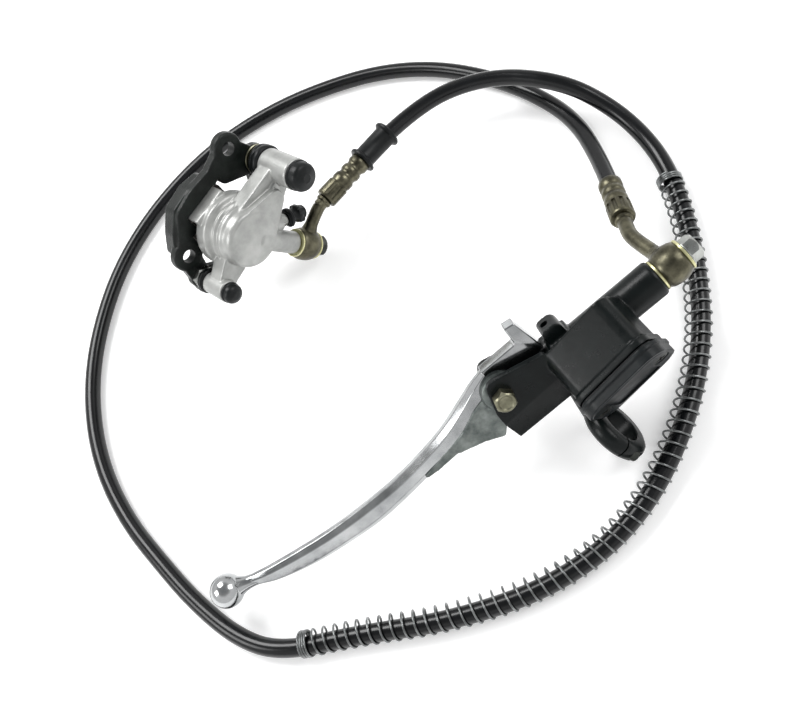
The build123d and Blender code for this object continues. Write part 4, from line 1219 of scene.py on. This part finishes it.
def build_boot(name, pin, boss, bore, high, node_name):
    """A thick rubber collar, a little larger than the boss that it seals."""
    low = 3.5
    profile = [
        (bore, low), (boss - 1.6, low + 0.02), (boss - 0.2, low + 0.5), (boss + 0.7, low + 1.5),
        (boss + 0.9, low + 2.6), (boss + 0.5, low + 3.4), (boss + 0.5, low + 3.9), (boss + 1.0, low + 4.6),
        (boss + 1.0, high - 1.2), (boss + 0.3, high - 0.4), (boss - 0.8, high - 0.05), (bore, high),
    ]
    boot = lathe(name, profile, CALIPER @ shift(*pin, 0), hollow=True)
    smooth(boot, 50)
    dress(boot, RUBBER, "brake_set", node_name, slot="rubber")


build_boot("upper_boot", UPPER_PIN, 9.5, 4.2, 12.0, "upper_pin_boot")
build_boot("lower_boot", LOWER_PIN, 6.8, 3.5, 9.0, "lower_pin_boot")


# Pin caps
# Rubber plugs with a lip and a shallow domed end, pressed over the far ends of the bosses.


def build_dome(name, pin, radius, low, height, node_name):
    """A rubber cap with a lip, a short side and a shallow domed end."""
    dome = lathe(name, [
        (radius - 0.2, 0.0), (radius + 0.25, 0.3), (radius + 0.25, 1.6), (radius - 0.25, 2.1),
        (radius - 0.3, height * 0.62), (radius - 0.9, height * 0.78), (radius - 2.2, height * 0.9),
        (3.1, height * 0.965), (2.7, height), (0.8, height),
    ], CALIPER @ shift(*pin, low))
    smooth(dome, 34)
    dress(dome, RUBBER, "brake_set", node_name, slot="rubber")


build_dome("upper_dome", UPPER_PIN, 8.9, 38.0, 9.0, "upper_pin_cap")
build_dome("lower_dome", LOWER_PIN, 6.2, 27.0, 7.0, "lower_pin_cap")


# Bleed screw and its cap
# A small steel nipple in its own boss, under a rubber cap with a strap and a square end.


def build_bleed():
    place = CALIPER @ shift(*polar(-32, 24, 24)) @ turn(-32, "Z") @ turn(90, "Y")
    screw = join("bleeder", [
        hex_head("hex", 7.0, 3.6, place @ shift(0, 0, 0.1), spin=10),
        lathe("nipple", [(3.0, -5.0), (3.0, 0.2), (2.2, 3.4), (2.4, 6), (1.9, 8), (2.4, 10), (1.6, 12)],
              place),
    ])
    smooth(screw, 28)
    dress(screw, STEEL, "brake_set", "bleed_screw", slot="steel")
    cap = lathe("nipple_cap", [
        (2.6, 4.5), (4.3, 4.5), (4.8, 5.0), (4.8, 6.6), (4.2, 7.2), (4.1, 11.0), (5.2, 11.6), (5.5, 12.6),
        (5.2, 14.4), (4.4, 15.2), (4.2, 17.2), (3.4, 18.0), (0.8, 18.2), (0.6, 12.4), (2.6, 12.2),
    ], place, hollow=True)
    smooth(cap, 34)
    box = prism("cap_box", rectangle(10.4, 9.0, 1.8), 11.4, 15.4, place)
    crisp(box, 0.6)
    freeze(box)
    strap = lathe("cap_strap", [(3.9, 5.2), (5.6, 5.2), (5.9, 5.7), (5.9, 6.9), (5.6, 7.4), (3.9, 7.4)],
                  place, hollow=True)
    stem = rod("cap_stem", (5.4, 0, 6.2), (4.6, 0, 12.4), 1.0, place, 0.3)
    whole = join("bleed_nipple_cap", [cap, box, strap, stem])
    smooth(whole, 34)
    dress(whole, RUBBER, "brake_set", "bleed_cap", slot="rubber")


build_bleed()


# Inside the caliper
# Piston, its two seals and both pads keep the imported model's own shapes.

LINING = surface("pad_lining", (0.035, 0.032, 0.03), (0.11, 0.1, 0.09), 0.85, mottle=900, grain=1500,
                 bump=0.4)


def build_inside_caliper():
    for name, finish in (
        ("caliper_piston", STEEL), ("piston_seal", RUBBER), ("piston_dust_seal", RUBBER),
        ("outer_brake_pad", LINING), ("inner_brake_pad", LINING),
    ):
        paint(name, finish)


build_inside_caliper()
